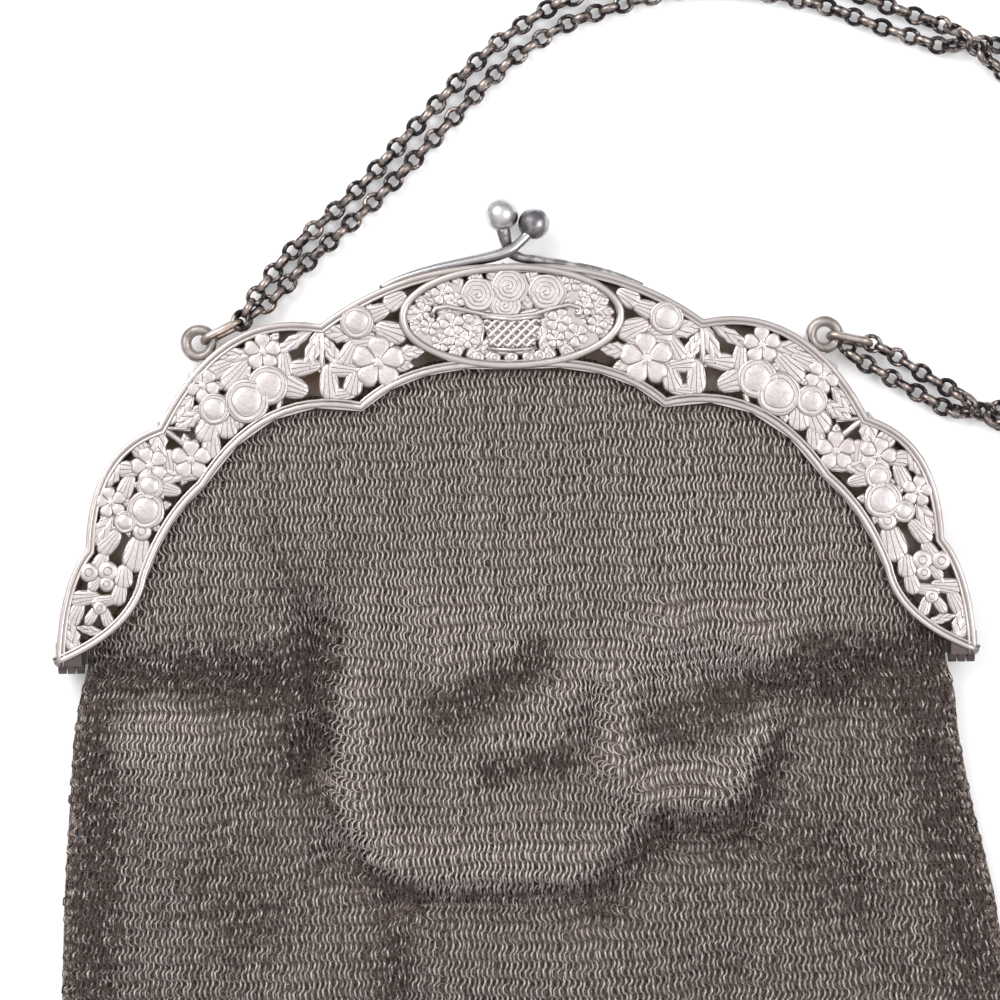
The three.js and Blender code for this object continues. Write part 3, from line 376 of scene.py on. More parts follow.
# Kind, place across and up, reach and slimness as shares of the frame, turn of the tip in degrees
wing_ornament = (
    ("petal", 0.253, 0.91, 0.026, 0.75, -30),
    ("petal", 0.293, 0.88, 0.029, 0.62, -20),
    ("rose", 0.336, 0.856, 0.033, 1, 0),
    ("petal", 0.263, 0.83, 0.034, 0.62, 200),
    ("petal", 0.322, 0.812, 0.026, 0.8, 0),
    ("leaf", 0.375, 0.828, 0.039, 0.48, 12),
    ("petal", 0.354, 0.778, 0.03, 0.58, -62),
    ("leaf", 0.226, 0.775, 0.036, 0.45, 172),
    ("blossom", 0.291, 0.752, 0.05, 1, 20),
    ("petal", 0.366, 0.737, 0.031, 0.55, 8),
    ("petal", 0.345, 0.7, 0.028, 0.68, -75),
    ("petal", 0.366, 0.671, 0.027, 0.5, -8),
    ("petal", 0.399, 0.703, 0.037, 0.52, -92),
    ("leaf", 0.391, 0.777, 0.036, 0.4, 68),
    ("stem", 0.413, 0.79, 0.052, 0.13, 92),
    ("leaf", 0.434, 0.783, 0.052, 0.28, -72),
    ("leaf", 0.476, 0.806, 0.05, 0.28, -32),
    ("petal", 0.451, 0.743, 0.034, 0.5, -8),
    ("petal", 0.494, 0.752, 0.03, 0.52, -95),
    ("petal", 0.475, 0.691, 0.03, 0.75, 20),
    ("blossom", 0.542, 0.783, 0.036, 1, 90),
    ("leaf", 0.601, 0.775, 0.038, 0.4, -4),
    ("petal", 0.636, 0.742, 0.03, 0.62, -24),
    ("rose", 0.531, 0.698, 0.039, 1, 0),
    ("rose", 0.577, 0.658, 0.043, 1, 0),
    ("petal", 0.6, 0.727, 0.04, 0.55, -48),
    ("stem", 0.508, 0.642, 0.024, 0.26, -78),
    ("blossom", 0.673, 0.7, 0.033, 1, 54),
    ("leaf", 0.72, 0.638, 0.04, 0.45, -48),
    ("rose", 0.648, 0.639, 0.031, 1, 0),
    ("leaf", 0.703, 0.614, 0.034, 0.5, -30),
    ("petal", 0.621, 0.595, 0.026, 0.8, -90),
    ("petal", 0.66, 0.592, 0.034, 0.7, -62),
    ("petal", 0.656, 0.546, 0.028, 0.68, -84),
    ("stem", 0.735, 0.591, 0.034, 0.14, 3),
    ("stem", 0.733, 0.567, 0.042, 0.15, 38),
    ("leaf", 0.771, 0.56, 0.037, 0.5, -88),
    ("blossom", 0.7, 0.51, 0.038, 1, 18),
    ("petal", 0.702, 0.475, 0.03, 0.5, 0),
    ("petal", 0.748, 0.503, 0.028, 0.7, 80),
    ("leaf", 0.747, 0.467, 0.036, 0.42, -6),
    ("petal", 0.804, 0.531, 0.028, 0.65, 50),
    ("blossom", 0.79, 0.496, 0.036, 1, 72),
    ("petal", 0.833, 0.488, 0.028, 0.6, 0),
    ("leaf", 0.873, 0.474, 0.035, 0.48, -52),
    ("petal", 0.842, 0.443, 0.029, 0.55, -66),
    ("rose", 0.79, 0.444, 0.026, 1, 0),
    ("petal", 0.752, 0.436, 0.028, 0.52, 14),
    ("rose", 0.8, 0.383, 0.037, 1, 0),
    ("blossom", 0.876, 0.404, 0.03, 1, 80),
    ("rose", 0.845, 0.354, 0.022, 1, 0),
    ("leaf", 0.897, 0.332, 0.042, 0.46, -52),
    ("bud", 0.809, 0.329, 0.019, 1, 0),
    ("petal", 0.88, 0.302, 0.031, 0.58, -48),
    ("petal", 0.82, 0.272, 0.038, 0.72, -78),
    ("petal", 0.9, 0.25, 0.024, 0.66, -62),
    ("bud", 0.925, 0.226, 0.019, 1, 0),
    ("bud", 0.884, 0.228, 0.02, 1, 0),
    ("petal", 0.85, 0.214, 0.025, 0.75, -86),
    ("bud", 0.887, 0.196, 0.015, 1, 0),
    ("petal", 0.913, 0.197, 0.019, 0.6, -50),
    ("petal", 0.86, 0.172, 0.026, 0.6, -76),
    ("petal", 0.89, 0.153, 0.031, 0.4, -10),
    ("petal", 0.937, 0.161, 0.033, 0.48, -6),
    ("stem", 0.924, 0.18, 0.018, 0.4, -70),
    ("petal", 0.889, 0.112, 0.024, 0.5, -108),
    ("petal", 0.918, 0.118, 0.026, 0.42, -56),
    ("bud", 0.903, 0.135, 0.014, 1, 0),
    ("leaf", 0.922, 0.077, 0.033, 0.3, 14),
    ("petal", 0.957, 0.12, 0.03, 0.55, -62),
    ("leaf", 0.966, 0.062, 0.04, 0.45, 78),
)
medallion_ornament = (
    ("spiral", -0.014, 0.893, 0.032, 1, 0),
    ("spiral", -0.073, 0.921, 0.034, 1, 0),
    ("spiral", -0.006, 0.942, 0.034, 1, 0),
    ("spiral", 0.075, 0.926, 0.036, 1, 0),
    ("blossom", -0.15, 0.926, 0.024, 1, 100),
    ("blossom", 0.131, 0.95, 0.021, 1, 90),
    ("blossom", 0.168, 0.92, 0.021, 1, 40),
    ("blossom", 0.157, 0.887, 0.02, 1, 10),
    ("blossom", -0.194, 0.88, 0.02, 1, 30),
    ("blossom", -0.122, 0.905, 0.019, 1, 60),
    ("blossom", 0.185, 0.84, 0.021, 1, 0),
    ("blossom", 0.095, 0.806, 0.019, 1, 20),
    ("blossom", -0.095, 0.808, 0.019, 1, 50),
    ("blossom", -0.155, 0.8, 0.02, 1, 10),
    ("blossom", -0.178, 0.842, 0.02, 1, 80),
    ("petal", -0.2, 0.82, 0.018, 0.6, 210),
    ("petal", 0.2, 0.815, 0.018, 0.6, -30),
    ("leaf", -0.07, 0.775, 0.02, 0.5, -120),
    ("leaf", 0.07, 0.775, 0.02, 0.5, -60),
    ("leaf", -0.187, 0.908, 0.028, 0.48, 172),
    ("leaf", 0.187, 0.918, 0.028, 0.4, -20),
    ("petal", 0.174, 0.896, 0.028, 0.62, -70),
    ("petal", -0.205, 0.872, 0.028, 0.72, 178),
    ("petal", 0.195, 0.847, 0.026, 0.75, -16),
    ("petal", -0.198, 0.84, 0.026, 0.72, 204),
    ("blossom", 0.103, 0.853, 0.026, 1, 0),
    ("blossom", 0.14, 0.815, 0.025, 1, 40),
    ("blossom", -0.13, 0.845, 0.026, 1, 30),
    ("blossom", -0.12, 0.815, 0.022, 1, 70),
    ("leaf", 0.083, 0.832, 0.038, 0.55, 62),
    ("leaf", -0.085, 0.832, 0.038, 0.55, 118),
    ("leaf", 0.108, 0.799, 0.034, 0.5, -14),
    ("leaf", -0.112, 0.799, 0.034, 0.5, 194),
    ("petal", 0.118, 0.776, 0.026, 0.55, -60),
    ("petal", -0.122, 0.775, 0.026, 0.5, -124),
    ("stem", -0.107, 0.881, 0.05, 0.16, 6),
    ("stem", 0.107, 0.884, 0.05, 0.16, -4),
    ("stem", -0.035, 0.874, 0.036, 0.2, -12),
    ("stem", 0.035, 0.874, 0.036, 0.2, 12),
    ("basket", 0, 0.822, 0.061, 0.64, 0),
    ("stem", 0, 0.774, 0.07, 0.1, 0),
    ("bud", -0.074, 0.762, 0.013, 1, 0),
    ("bud", -0.038, 0.76, 0.012, 1, 0),
    ("bud", 0, 0.76, 0.012, 1, 0),
    ("bud", 0.034, 0.76, 0.012, 1, 0),
    ("bud", 0.06, 0.764, 0.013, 1, 0),
)


# Each form takes a place in a round of radius 1, the tip at x = 1, and gives the place and the height
# there, and a value that passes a whole number where the chaser cut a line

def leaf_form(x, y):
    # Notched edge, sunk middle vein and slanting side veins
    width = max(1 - x * x, 0) ** 0.5 * (1 + 0.12 * math.cos(15 * x))
    side = y * width * (1 if abs(x) < 1 else 0)
    vein = math.exp(-((y / 0.1) ** 2))
    return x, side, 0.5 * (1 - 0.35 * y * y) - 0.22 * vein, 1.7 * (x - 0.8 * abs(y)) + 0.5


def petal_form(x, y):
    # Fuller towards the tip, cupped, with lines from the foot
    width = max(1 - abs(x) ** 2.6, 0) ** 0.5
    fullness = 1 + 0.2 * min(max(x, -0.6), 0.6)
    cup = 0.5 * (1 - 0.45 * (x * x + y * y)) + 0.12 * x
    return x, y * width * fullness / max(math.sqrt(max(1 - x * x, 0.0)), 0.35), cup, y * (2.5 - 0.9 * x)


def stem_form(x, y):
    # Plain round stalk
    return x, y, 0.4 * (1 - y * y), 0.5


def bud_form(x, y):
    # Round bead with rings cut round it
    out = math.hypot(x, y)
    return x * 1.08, y * 1.08, 0.62 * math.sqrt(max(1 - out * out, 0)) + 0.2, 1.6 * out + 0.4


def rose_form(x, y):
    # Smooth closed middle inside overlapping rounds of petals
    out = math.hypot(x, y)
    angle = math.atan2(y, x)
    rounds = 5.2 * (out - 0.45) + 0.12 * math.sin(3 * angle)
    petal = rounds - math.floor(rounds)
    edge = 1.03 + 0.015 * math.cos(5 * angle)
    if out < 0.55:
        return x * edge, y * edge, 0.6 + 0.25 * math.sqrt(1 - (out / 0.57) ** 2), 0.5
    return x * edge, y * edge, 0.6 + 0.14 * (petal - 0.5) * min(1, 3 * (1.05 - out)), rounds


def spiral_form(x, y):
    # Open rose whose petals wind in to the middle
    out = math.hypot(x, y)
    angle = math.atan2(y, x)
    turns = 4.2 * out - angle / (2 * math.pi) + 1
    petal = turns - math.floor(turns)
    edge = 1.03 + 0.025 * math.cos(6 * angle)
    curl = 0.14 * (petal - 0.5) * min(1, 3 * (1.05 - out))
    return x * edge, y * edge, 0.64 + 0.14 * (1 - out) + curl, turns


def blossom_form(x, y):
    # Five notched petals round a bead
    out = math.hypot(x, y)
    angle = math.atan2(y, x)
    lobe = abs(math.cos(2.5 * angle)) ** 0.6
    edge = 0.74 + 0.38 * lobe - 0.1 * math.exp(-((math.sin(2.5 * angle) / 0.16) ** 2))
    petals = 0.5 + (0.06 + 0.2 * lobe) * math.sin(math.pi * min(max((out - 0.12) / 0.95, 0), 1))
    beads = 0.45 * math.sqrt(max(1 - (out / 0.24) ** 2, 0))
    lines = abs(angle) * 2.5 / math.pi + 0.5 if out > 0.24 else 0.5
    return x * edge, y * edge, max(petals, 0.42 + beads if out < 0.24 else 0), lines


def chased(form, around, rings):
    # Raised piece of reach 1 whose surface and cut lines follow a form; its foot goes down into the plate
    dome = bmesh.new()
    bmesh.ops.create_uvsphere(dome, u_segments=around, v_segments=2 * rings, radius=1)
    cuts = dome.verts.layers.float.new("cuts")
    for corner in dome.verts:
        flat = math.hypot(corner.co.x, corner.co.y)
        out = math.asin(min(flat, 1)) / (math.pi / 2)
        below = corner.co.z < -0.001
        if below:
            out = min(1, out + 1 / rings)
        x = out * corner.co.x / flat if flat > 0.0001 else 0
        y = out * corner.co.y / flat if flat > 0.0001 else 0
        x, y, height, corner[cuts] = form(x, y)
        corner.co = (x, y, -0.3 if below else max(height, 0.04) if out < 0.98 else 0.04)
    mesh = bpy.data.meshes.new("chased")
    dome.to_mesh(mesh)
    dome.free()
    return mesh


chased_kinds = {
    "leaf": chased(leaf_form, 24, 6),
    "small leaf": chased(leaf_form, 14, 3),
    "petal": chased(petal_form, 20, 6),
    "stem": chased(stem_form, 12, 3),
    "bud": chased(bud_form, 14, 6),
    "rose": chased(rose_form, 32, 12),
    "spiral": chased(spiral_form, 32, 14),
    "blossom": chased(blossom_form, 40, 8),
}

# How far a form of height 1 stands over the plate
lifts = {
    "leaf": 0.0006, "small leaf": 0.0005, "petal": 0.00062, "stem": 0.0007,
    "bud": 0.00075, "rose": 0.00095, "spiral": 0.00095, "blossom": 0.00075,
}


def set_in(ornament, row, grown=1.0, lowered=1.0):
    # One flower or leaf in its place on the plate; the basket is plaited further down
    kind, across, up, reach, slim, turn = row
    if kind not in chased_kinds:
        return
    before = len(ornament.verts)
    ornament.from_mesh(chased_kinds[kind])
    ornament.verts.ensure_lookup_table()
    place = frame_place(across, up)
    grow = reach * half_width * grown
    size = Matrix.Diagonal((grow, grow * slim, lifts[kind] * lowered, 1))
    turned = Matrix.Rotation(math.radians(turn), 4, "Z") @ size
    put = Matrix.Translation((place[0], place[1], plate_top)) @ turned
    bmesh.ops.transform(ornament, matrix=put, verts=ornament.verts[before:])


def cut_lines(material, dark, depth):
    # Fine lines cut by the chaser, where the cuts value of the mesh passes a whole number
    tree = material.node_tree
    # The long cuts of veins and petals
    cuts = add_node(tree, "Attribute", {}, attribute_name="cuts")
    off = add_node(tree, "Math", {0: cuts.outputs["Fac"], 1: 0.5}, operation="PINGPONG")
    flat = add_node(tree, "MapRange", {
        "Value": off.outputs["Value"], "From Max": 0.1}, interpolation_type="SMOOTHSTEP")
    # Small cuts all over between them
    place = add_node(tree, "TexCoord", {}).outputs["Object"]
    small = add_node(tree, "TexVoronoi", {"Vector": place, "Scale": 900}, feature="DISTANCE_TO_EDGE")
    fine = add_node(tree, "MapRange", {
        "Value": small.outputs["Distance"], "From Max": 0.1, "To Min": 0.8}, interpolation_type="SMOOTHSTEP")
    # Both dark and sunk
    both = add_node(tree, "Math", {
        0: flat.outputs["Result"], 1: fine.outputs["Result"]}, operation="MULTIPLY").outputs["Value"]
    darkened(material, dark, both)
    sunk(material, depth, both)


def inside_band(across, up, clearance=0.001):
    # Whether a place is on the plate, clear of both edges of the frame
    x, y = frame_place(across, up)
    spots = (x - 0.7 * clearance, x, x + 0.7 * clearance)
    low = max(np.interp(spot, arch_line[:, 0], arch_line[:, 1]) for spot in spots)
    high = min(np.interp(spot, outer_line[:, 0], outer_line[:, 1]) for spot in spots)
    return low + clearance < y < high - clearance


ornament = bmesh.new()
oval_growth = 1.1
wing_growth = 1.14
placed = list(medallion_ornament)
for kind, across, up, reach, slim, turn in wing_ornament:
    placed.append((kind, across, up, reach, slim, turn))
    placed.append((kind, -across, up, reach, slim, 180 - turn))
for order, row in enumerate(placed):
    kind, across, up, reach, slim, turn = row
    in_oval = order < len(medallion_ornament)
    grown = 1 if kind == "stem" else oval_growth if in_oval else wing_growth
    set_in(ornament, row, grown, 0.92 + 0.05 * (order % 4))
    # Small leaves that come out from under each flower
    for leaf in range(5 if kind in ("rose", "spiral", "blossom") else 0):
        away = math.radians(turn + 70 + 72 * leaf + 17 * (order % 5))
        out_across = reach * math.cos(away)
        out_up = reach * math.sin(away) * half_width / rise
        spot = (across + out_across, up + out_up)
        if in_oval or inside_band(across + 1.55 * out_across, up + 1.55 * out_up):
            set_in(ornament, ("small leaf", *spot, reach * 0.62, 0.5, math.degrees(away)), 1, 0.8)
# Leaves that fill the oval, pointing outwards: share of the oval, number and reach of each round
for ring, count, reach in ((0.86, 30, 0.024), (0.62, 22, 0.027), (0.36, 12, 0.027)):
    for leaf in range(count):
        away = 2 * math.pi * (leaf + 0.5 * ring) / count
        spot_across = medallion_across_radius * ring * math.cos(away)
        spot = (spot_across, medallion_up + medallion_up_radius * ring * math.sin(away))
        heading = math.degrees(math.atan2(math.sin(away) * 1.7, math.cos(away))) + 14 * (leaf % 3 - 1)
        set_in(ornament, ("small leaf", *spot, reach, 0.62, heading), 1, 1.4)
plain_start = len(ornament.verts)

# Diagonal plaiting of the basket, its rim, its foot and the scroll over it
basket_low = 0.785
basket_high = 0.86
basket_half = 0.064
lane_pitch = 0.021
lane_slant = 0.068
for lean in (-1, 1):
    for lane in range(-4, 5):
        lane_points = []
        for step in range(13):
            share = step / 12
            across = lane * lane_pitch + lean * (share - 0.5) * lane_slant
            if abs(across) <= basket_half * (0.78 + 0.22 * share):
                lane_points.append(frame_place(across, basket_low + (basket_high - basket_low) * share))
        if len(lane_points) > 2:
            height = plate_top + 0.0004 + 0.00005 * lean
            ornament.from_mesh(moulding(np.array(lane_points), height, 0.00036, 0.00028))
for points, thick in (
    (((-0.067, 0.865), (0, 0.857), (0.067, 0.865)), 0.0004),
    (((-0.053, 0.783), (0, 0.779), (0.053, 0.783)), 0.0003),
    (((-0.176, 0.868), (-0.165, 0.888), (-0.14, 0.893), (-0.1, 0.882), (-0.05, 0.868), (0, 0.864),
      (0.05, 0.87), (0.09, 0.885), (0.125, 0.893), (0.148, 0.885), (0.15, 0.87), (0.138, 0.867)), 0.0004),
):
    line = np.array([frame_place(*point) for point in points])
    ornament.from_mesh(moulding(line, plate_top + 0.0006, thick, 0.0004))
ornament.verts.ensure_lookup_table()
cuts = ornament.verts.layers.float["cuts"]
for corner in ornament.verts[plain_start:]:
    corner[cuts] = 0.5
flower_silver = silver(
    "chased_silver", clean=(0.66, 0.61, 0.595), tarnish=(0.52, 0.46, 0.445), dirt=(0.12, 0.085, 0.07),
    patch_size=330, patch_share=0.8, hollow_depth=0.0004, polish=0.24, scratch=0.00003,
)
cut_lines(flower_silver, dark=(0.2, 0.155, 0.14), depth=0.00006)
finish_piece("chased_ornament", ornament, flower_silver)


# HINGES AT THE TIPS
# Each tip has a barrel of three knuckles, one of the front half between two of the back half, with a
# plain silver pin through them. The pins were never cleaned and are dull.

pin_silver = silver(
    "pin_silver", clean=(0.5, 0.46, 0.43), tarnish=(0.3, 0.22, 0.16), dirt=(0.05, 0.035, 0.03),
    patch_size=500, patch_share=0.8, hollow_depth=0.0004, polish=0.35,
)
for node in ("hinge_pin_left", "hinge_pin_right"):
    dress(node, pin_silver)


# SNAP CLASP
# Two sprung silver arms, one fixed to each half, run along the top of the frame and cross in the
# middle, where each ends in a stem and a ball. The balls snap past each other. One has gone dark.

def smooth_line(points, per_span):
    # Smooth line through points, with the other columns carried along
    points = np.array(points, float)
    ends = np.vstack([2 * points[0] - points[1], points, 2 * points[-1] - points[-2]])
    line = []
    for index in range(1, len(ends) - 2):
        a, b, c, d = ends[index - 1:index + 3]
        for step in range(per_span):
            t = step / per_span
            line.append(0.5 * (2 * b + (c - a) * t + (2 * a - 5 * b + 4 * c - d) * t ** 2
                               + (3 * b - a - 3 * c + d) * t ** 3))
    line.append(points[-1])
    return np.array(line)


def tarnish_from_mesh(material):
    # The tarnish value of the mesh says where the patches are strong
    tarnish = add_node(material.node_tree, "Attribute", {}, attribute_name="tarnish")
    feed(material.node_tree.nodes["Group"], {"Patch Share": tarnish.outputs["Fac"]})


# Place and radius along each arm, in millimetres, with y from the hinge line
front_arm = (
    (-23, 64.3, 6.6, 0.35), (-19, 65.9, 6.7, 0.65), (-14, 67.3, 6.7, 0.85), (-8, 68.5, 6.7, 0.95),
    (-3, 69.5, 6.7, 1), (-0.2, 70.5, 6.6, 0.95), (1.3, 71.6, 6.3, 0.85), (2.7, 73, 5.8, 0.95),
    (3.7, 74.4, 5.3, 1.2),
)
back_arm = (
    (23, 64.3, 3.6, 0.35), (19, 65.8, 3.6, 0.6), (14, 67.2, 3.6, 0.7), (8, 68.3, 3.6, 0.75),
    (4.4, 68.9, 3.7, 0.8), (1.6, 69.4, 3.8, 0.85), (-0.2, 70.4, 4.2, 0.95), (-0.8, 72, 4.8, 1.05),
    (-1.3, 74.5, 5.15, 1.25),
)
front_snap_silver = silver(
    "front_snap_silver", clean=(0.56, 0.54, 0.55), tarnish=(0.16, 0.15, 0.16), dirt=(0.03, 0.026, 0.026),
    patch_size=260, patch_share=1.0, hollow_depth=0.0016, polish=0.12,
)
back_snap_silver = silver(
    "back_snap_silver", clean=(0.68, 0.66, 0.67), tarnish=(0.22, 0.2, 0.2), dirt=(0.04, 0.034, 0.03),
    patch_size=260, patch_share=0.9, hollow_depth=0.0016, polish=0.2,
)
# Place and radius of the ball in millimetres, how tarnished the arm and the ball are, and the finish
snaps = (
    ("clasp_front_snap", "clasp_front", front_arm, (4.1, 75.2, 5.15), 2.75, 0.4, 1.7, front_snap_silver),
    ("clasp_back_snap", "clasp_back", back_arm, (-1.5, 76.8, 5.15), 2.9, 1.8, 0.4, back_snap_silver),
)
hinge_shift = Vector((0, hinge_y, 0))
for name, node, arm, ball_place, ball_radius, arm_tarnish, ball_tarnish, material in snaps:
    line = smooth_line(arm, 5) / 1000
    snap = bmesh.new()
    sizes = [(radius, radius) for radius in line[:, 3]]
    snap.from_mesh(bar_along(line[:, :3] + np.array(hinge_shift), sizes, 12, first_aside=(0, 0, 1)))
    ball = Matrix.Translation(Vector(ball_place) / 1000 + hinge_shift)
    tarnish = snap.verts.layers.float.new("tarnish")
    for corner in snap.verts:
        corner[tarnish] = arm_tarnish
    made = bmesh.ops.create_uvsphere(snap, u_segments=32, v_segments=20, radius=ball_radius / 1000,
                                     matrix=ball)
    for corner in made["verts"]:
        corner[tarnish] = ball_tarnish
    tarnish_from_mesh(material)
    finish_piece(name, snap, material, (node,))


# END LINKS
# Long round-ended links of heavy wire, standing on edge in the ears. The two strands of the chain
# start from them. They are rubbed bright by the ears.

link_length = 0.0085
link_height = 0.0044
link_wire = 0.00072
link_start = 0.0002
link_roll = math.radians(10)
link_silver = silver(
    "end_link_silver", clean=(0.56, 0.49, 0.44), tarnish=(0.24, 0.18, 0.15), dirt=(0.05, 0.035, 0.028),
    patch_size=400, patch_share=0.8, hollow_depth=0.0014, polish=0.2,
)
link_bows = {}
for side, name, lie in ((-1, "end_link_left", 26), (1, "end_link_right", -12)):
    along = Vector((math.cos(math.radians(lie)), math.sin(math.radians(lie)), 0))
    ear = Vector((side * ear_across * half_width, ear_up * rise + hinge_y, ear_z))
    aside = Vector((-along.y, along.x, 0))
    upward = Vector((0, 0, math.cos(link_roll))) + aside * math.sin(link_roll)
    bend = link_height / 2 - link_wire
    path = []
    far_middle = link_start + link_length - link_height / 2
    near_middle = link_start + link_height / 2
    for middle, start in ((far_middle, -90), (near_middle, 90)):
        for step in range(9):
            angle = math.radians(start + step * 22.5)
            path.append(ear + along * (middle + bend * math.cos(angle)) + upward * bend * math.sin(angle))
    wire = bar_along(path, [(link_wire, link_wire)] * len(path), 10, aside, closed=True)
    finish_piece(name + "_wire", wire, link_silver, (name,))
    link_bows[side] = ear + along * (link_start + link_length - link_wire)


# CHAIN
# Two strands of soldered round links of half-round wire, joined to the end links. It has gone nearly
# black, with warm bright spots where the links rub. The strands cross where the chain turns over.

# Across and up as shares of the frame, height of the lower strand and half the distance between the
# strands in strand radii, twist in degrees
chain_route = (
    (-0.537, 0.935, 1.38, 1.22, 0),
    (-0.459, 1.037, 1.06, 1.38, 0),
    (-0.319, 1.185, 1.06, 1.38, 0),
    (-0.186, 1.346, 1.06, 1.41, 0),
    (-0.053, 1.507, 1.06, 1.38, 0),
    (0.044, 1.597, 1.06, 1.38, 0),
    (0.169, 1.671, 1.06, 1.38, 0),
    (0.419, 1.738, 1.06, 1.38, 0),
    (0.662, 1.7, 1.06, 1.38, 0),
    (0.825, 1.632, 1.06, 1.38, 0),
    (0.931, 1.587, 1.06, 1.31, 0),
    (1.012, 1.556, 1.06, 1.22, 90),
    (1.094, 1.509, 1.06, 1.31, 180),
    (1.212, 1.382, 1.06, 1.38, 180),
    (1.288, 1.191, 1.06, 1.38, 180),
    (1.306, 0.971, 1.06, 1.38, 180),
    (1.269, 0.772, 1.06, 1.38, 180),
    (1.188, 0.647, 1.06, 1.31, 180),
    (1.106, 0.597, 1.06, 1.28, 180),
    (1.022, 0.606, 1.06, 1.22, 270),
    (0.94, 0.651, 1.06, 1.22, 360),
    (0.88, 0.693, 1.06, 1.22, 360),
    (0.835, 0.726, 1.25, 1.34, 360),
)
strand_radius = 0.0016
link_pitch = 0.00257
chain_link_radius = 0.0013
chain_wire_radius = 0.0004
chain_link_stretch = 1.2
chain_wire_widening = 1.7
chain_link = wire_ring(chain_link_radius, chain_wire_radius, 14, 8, chain_link_stretch)

# Tarnish strong inside the link and gone from its outer face, and the wire widened to half-round
widen = bmesh.new()
widen.from_mesh(chain_link)
tarnish = widen.verts.layers.float.new("tarnish")
for corner in widen.verts:
    out = math.hypot(corner.co.x / chain_link_stretch, corner.co.y)
    outward = (out - chain_link_radius) / chain_wire_radius
    corner[tarnish] = 2.4 - 1.8 * max(outward, 0) ** 2
bmesh.ops.scale(widen, verts=widen.verts, vec=(1, 1, chain_wire_widening))
widen.to_mesh(chain_link)
widen.free()


def strand_line(side, first, last):
    # Middle line of one strand with its twist, from the end link on the left to the one on the right
    rows = smooth_line(chain_route, 6)
    places = np.stack([rows[:, 0] * half_width, rows[:, 1] * rise + hinge_y, rows[:, 2] * strand_radius], 1)
    along = np.gradient(places, axis=0)
    along /= np.linalg.norm(along, axis=1)[:, None]
    aside = np.stack([-along[:, 1], along[:, 0], 0 * along[:, 0]], 1)
    twist = np.radians(rows[:, 4])
    closer = np.interp(rows[:, 0], (-0.5, 0, 0.8), (0.76, 0.88, 0.88))
    spread = (rows[:, 3] * strand_radius * closer)[:, None]
    places = places + side * spread * np.cos(twist)[:, None] * aside
    places[:, 2] += spread[:, 0] * (side * np.sin(twist) + np.abs(np.sin(twist)))
    places = np.vstack([first, places, last])
    twist = np.concatenate([twist[:1]] * len(first) + [twist] + [twist[-1:]] * len(last))
    return places, twist


def link_strand(name, side, first, last, node, material):
    # Links one after another along a strand, each a quarter turn from the one before
    places, twist = strand_line(side, first, last)
    reach = np.concatenate([[0], np.cumsum(np.linalg.norm(np.diff(places, axis=0), axis=1))])
    count = int(round(reach[-1] / link_pitch / 2)) * 2
    strand = bmesh.new()
    for index in range(count + 1):
        at = reach[-1] * index / count
        centre = Vector([np.interp(at, reach, places[:, axis]) for axis in range(3)])
        ahead = Vector([np.interp(min(at + 0.0008, reach[-1]), reach, places[:, axis]) for axis in range(3)])
        behind = Vector([np.interp(max(at - 0.0008, 0), reach, places[:, axis]) for axis in range(3)])
        along = (ahead - behind).normalized()
        up = Vector((0, 0, 1))
        up = (up - up.dot(along) * along).normalized()
        lean = np.interp(at, reach, twist) + math.radians(90 * (index % 2) + 7 * math.sin(index * 2.4))
        turn = Matrix((along, up.cross(along), up)).transposed().to_4x4() @ Matrix.Rotation(lean, 4, "X")
        before = len(strand.verts)
        strand.from_mesh(chain_link)
        strand.verts.ensure_lookup_table()
        bmesh.ops.transform(strand, matrix=Matrix.Translation(centre) @ turn, verts=strand.verts[before:])
    finish_piece(name, strand, material, (node,))


chain_silver = silver(
    "chain_silver", clean=(0.42, 0.35, 0.31), tarnish=(0.03, 0.026, 0.03), dirt=(0.01, 0.008, 0.01),
    patch_size=700, patch_share=1.0, hollow_depth=0.0012, polish=0.2,
)
tarnish_from_mesh(chain_silver)
bow = link_bows[-1]
far_bow = link_bows[1]
mm = 0.001
link_strand("chain_strand_left_links", 1,
            [(bow.x + 0.2 * mm, bow.y + 0.5 * mm, bow.z + 0.9 * mm)],
            [(0.0595, 0.0514 + hinge_y, 0.0028), (0.0587, 0.0532 + hinge_y, 0.0036)],
            "chain_strand_left", chain_silver)
link_strand("chain_strand_right_links", -1,
            [(bow.x + 0.4 * mm, bow.y + 0.2 * mm, bow.z - 0.9 * mm)],
            [(far_bow.x + 0.5 * mm, far_bow.y, far_bow.z)],
            "chain_strand_right", chain_silver)


# MESH BAG
# Soft mail of small silver rings, each linked through two in the row above and two below, hung from
# the arch of the frame and open into it. Rows lean left and right in turn. Lying down it falls in
# flat swags. It has gone grey-brown, with painted highlights on its folds and painted shade in its creases.

drop = 0.112
bag_height = 0.009
mouth_height = 0.0076
tuck_in = 0.0023
closed_depth = 0.0103
edge_height = 0.0028
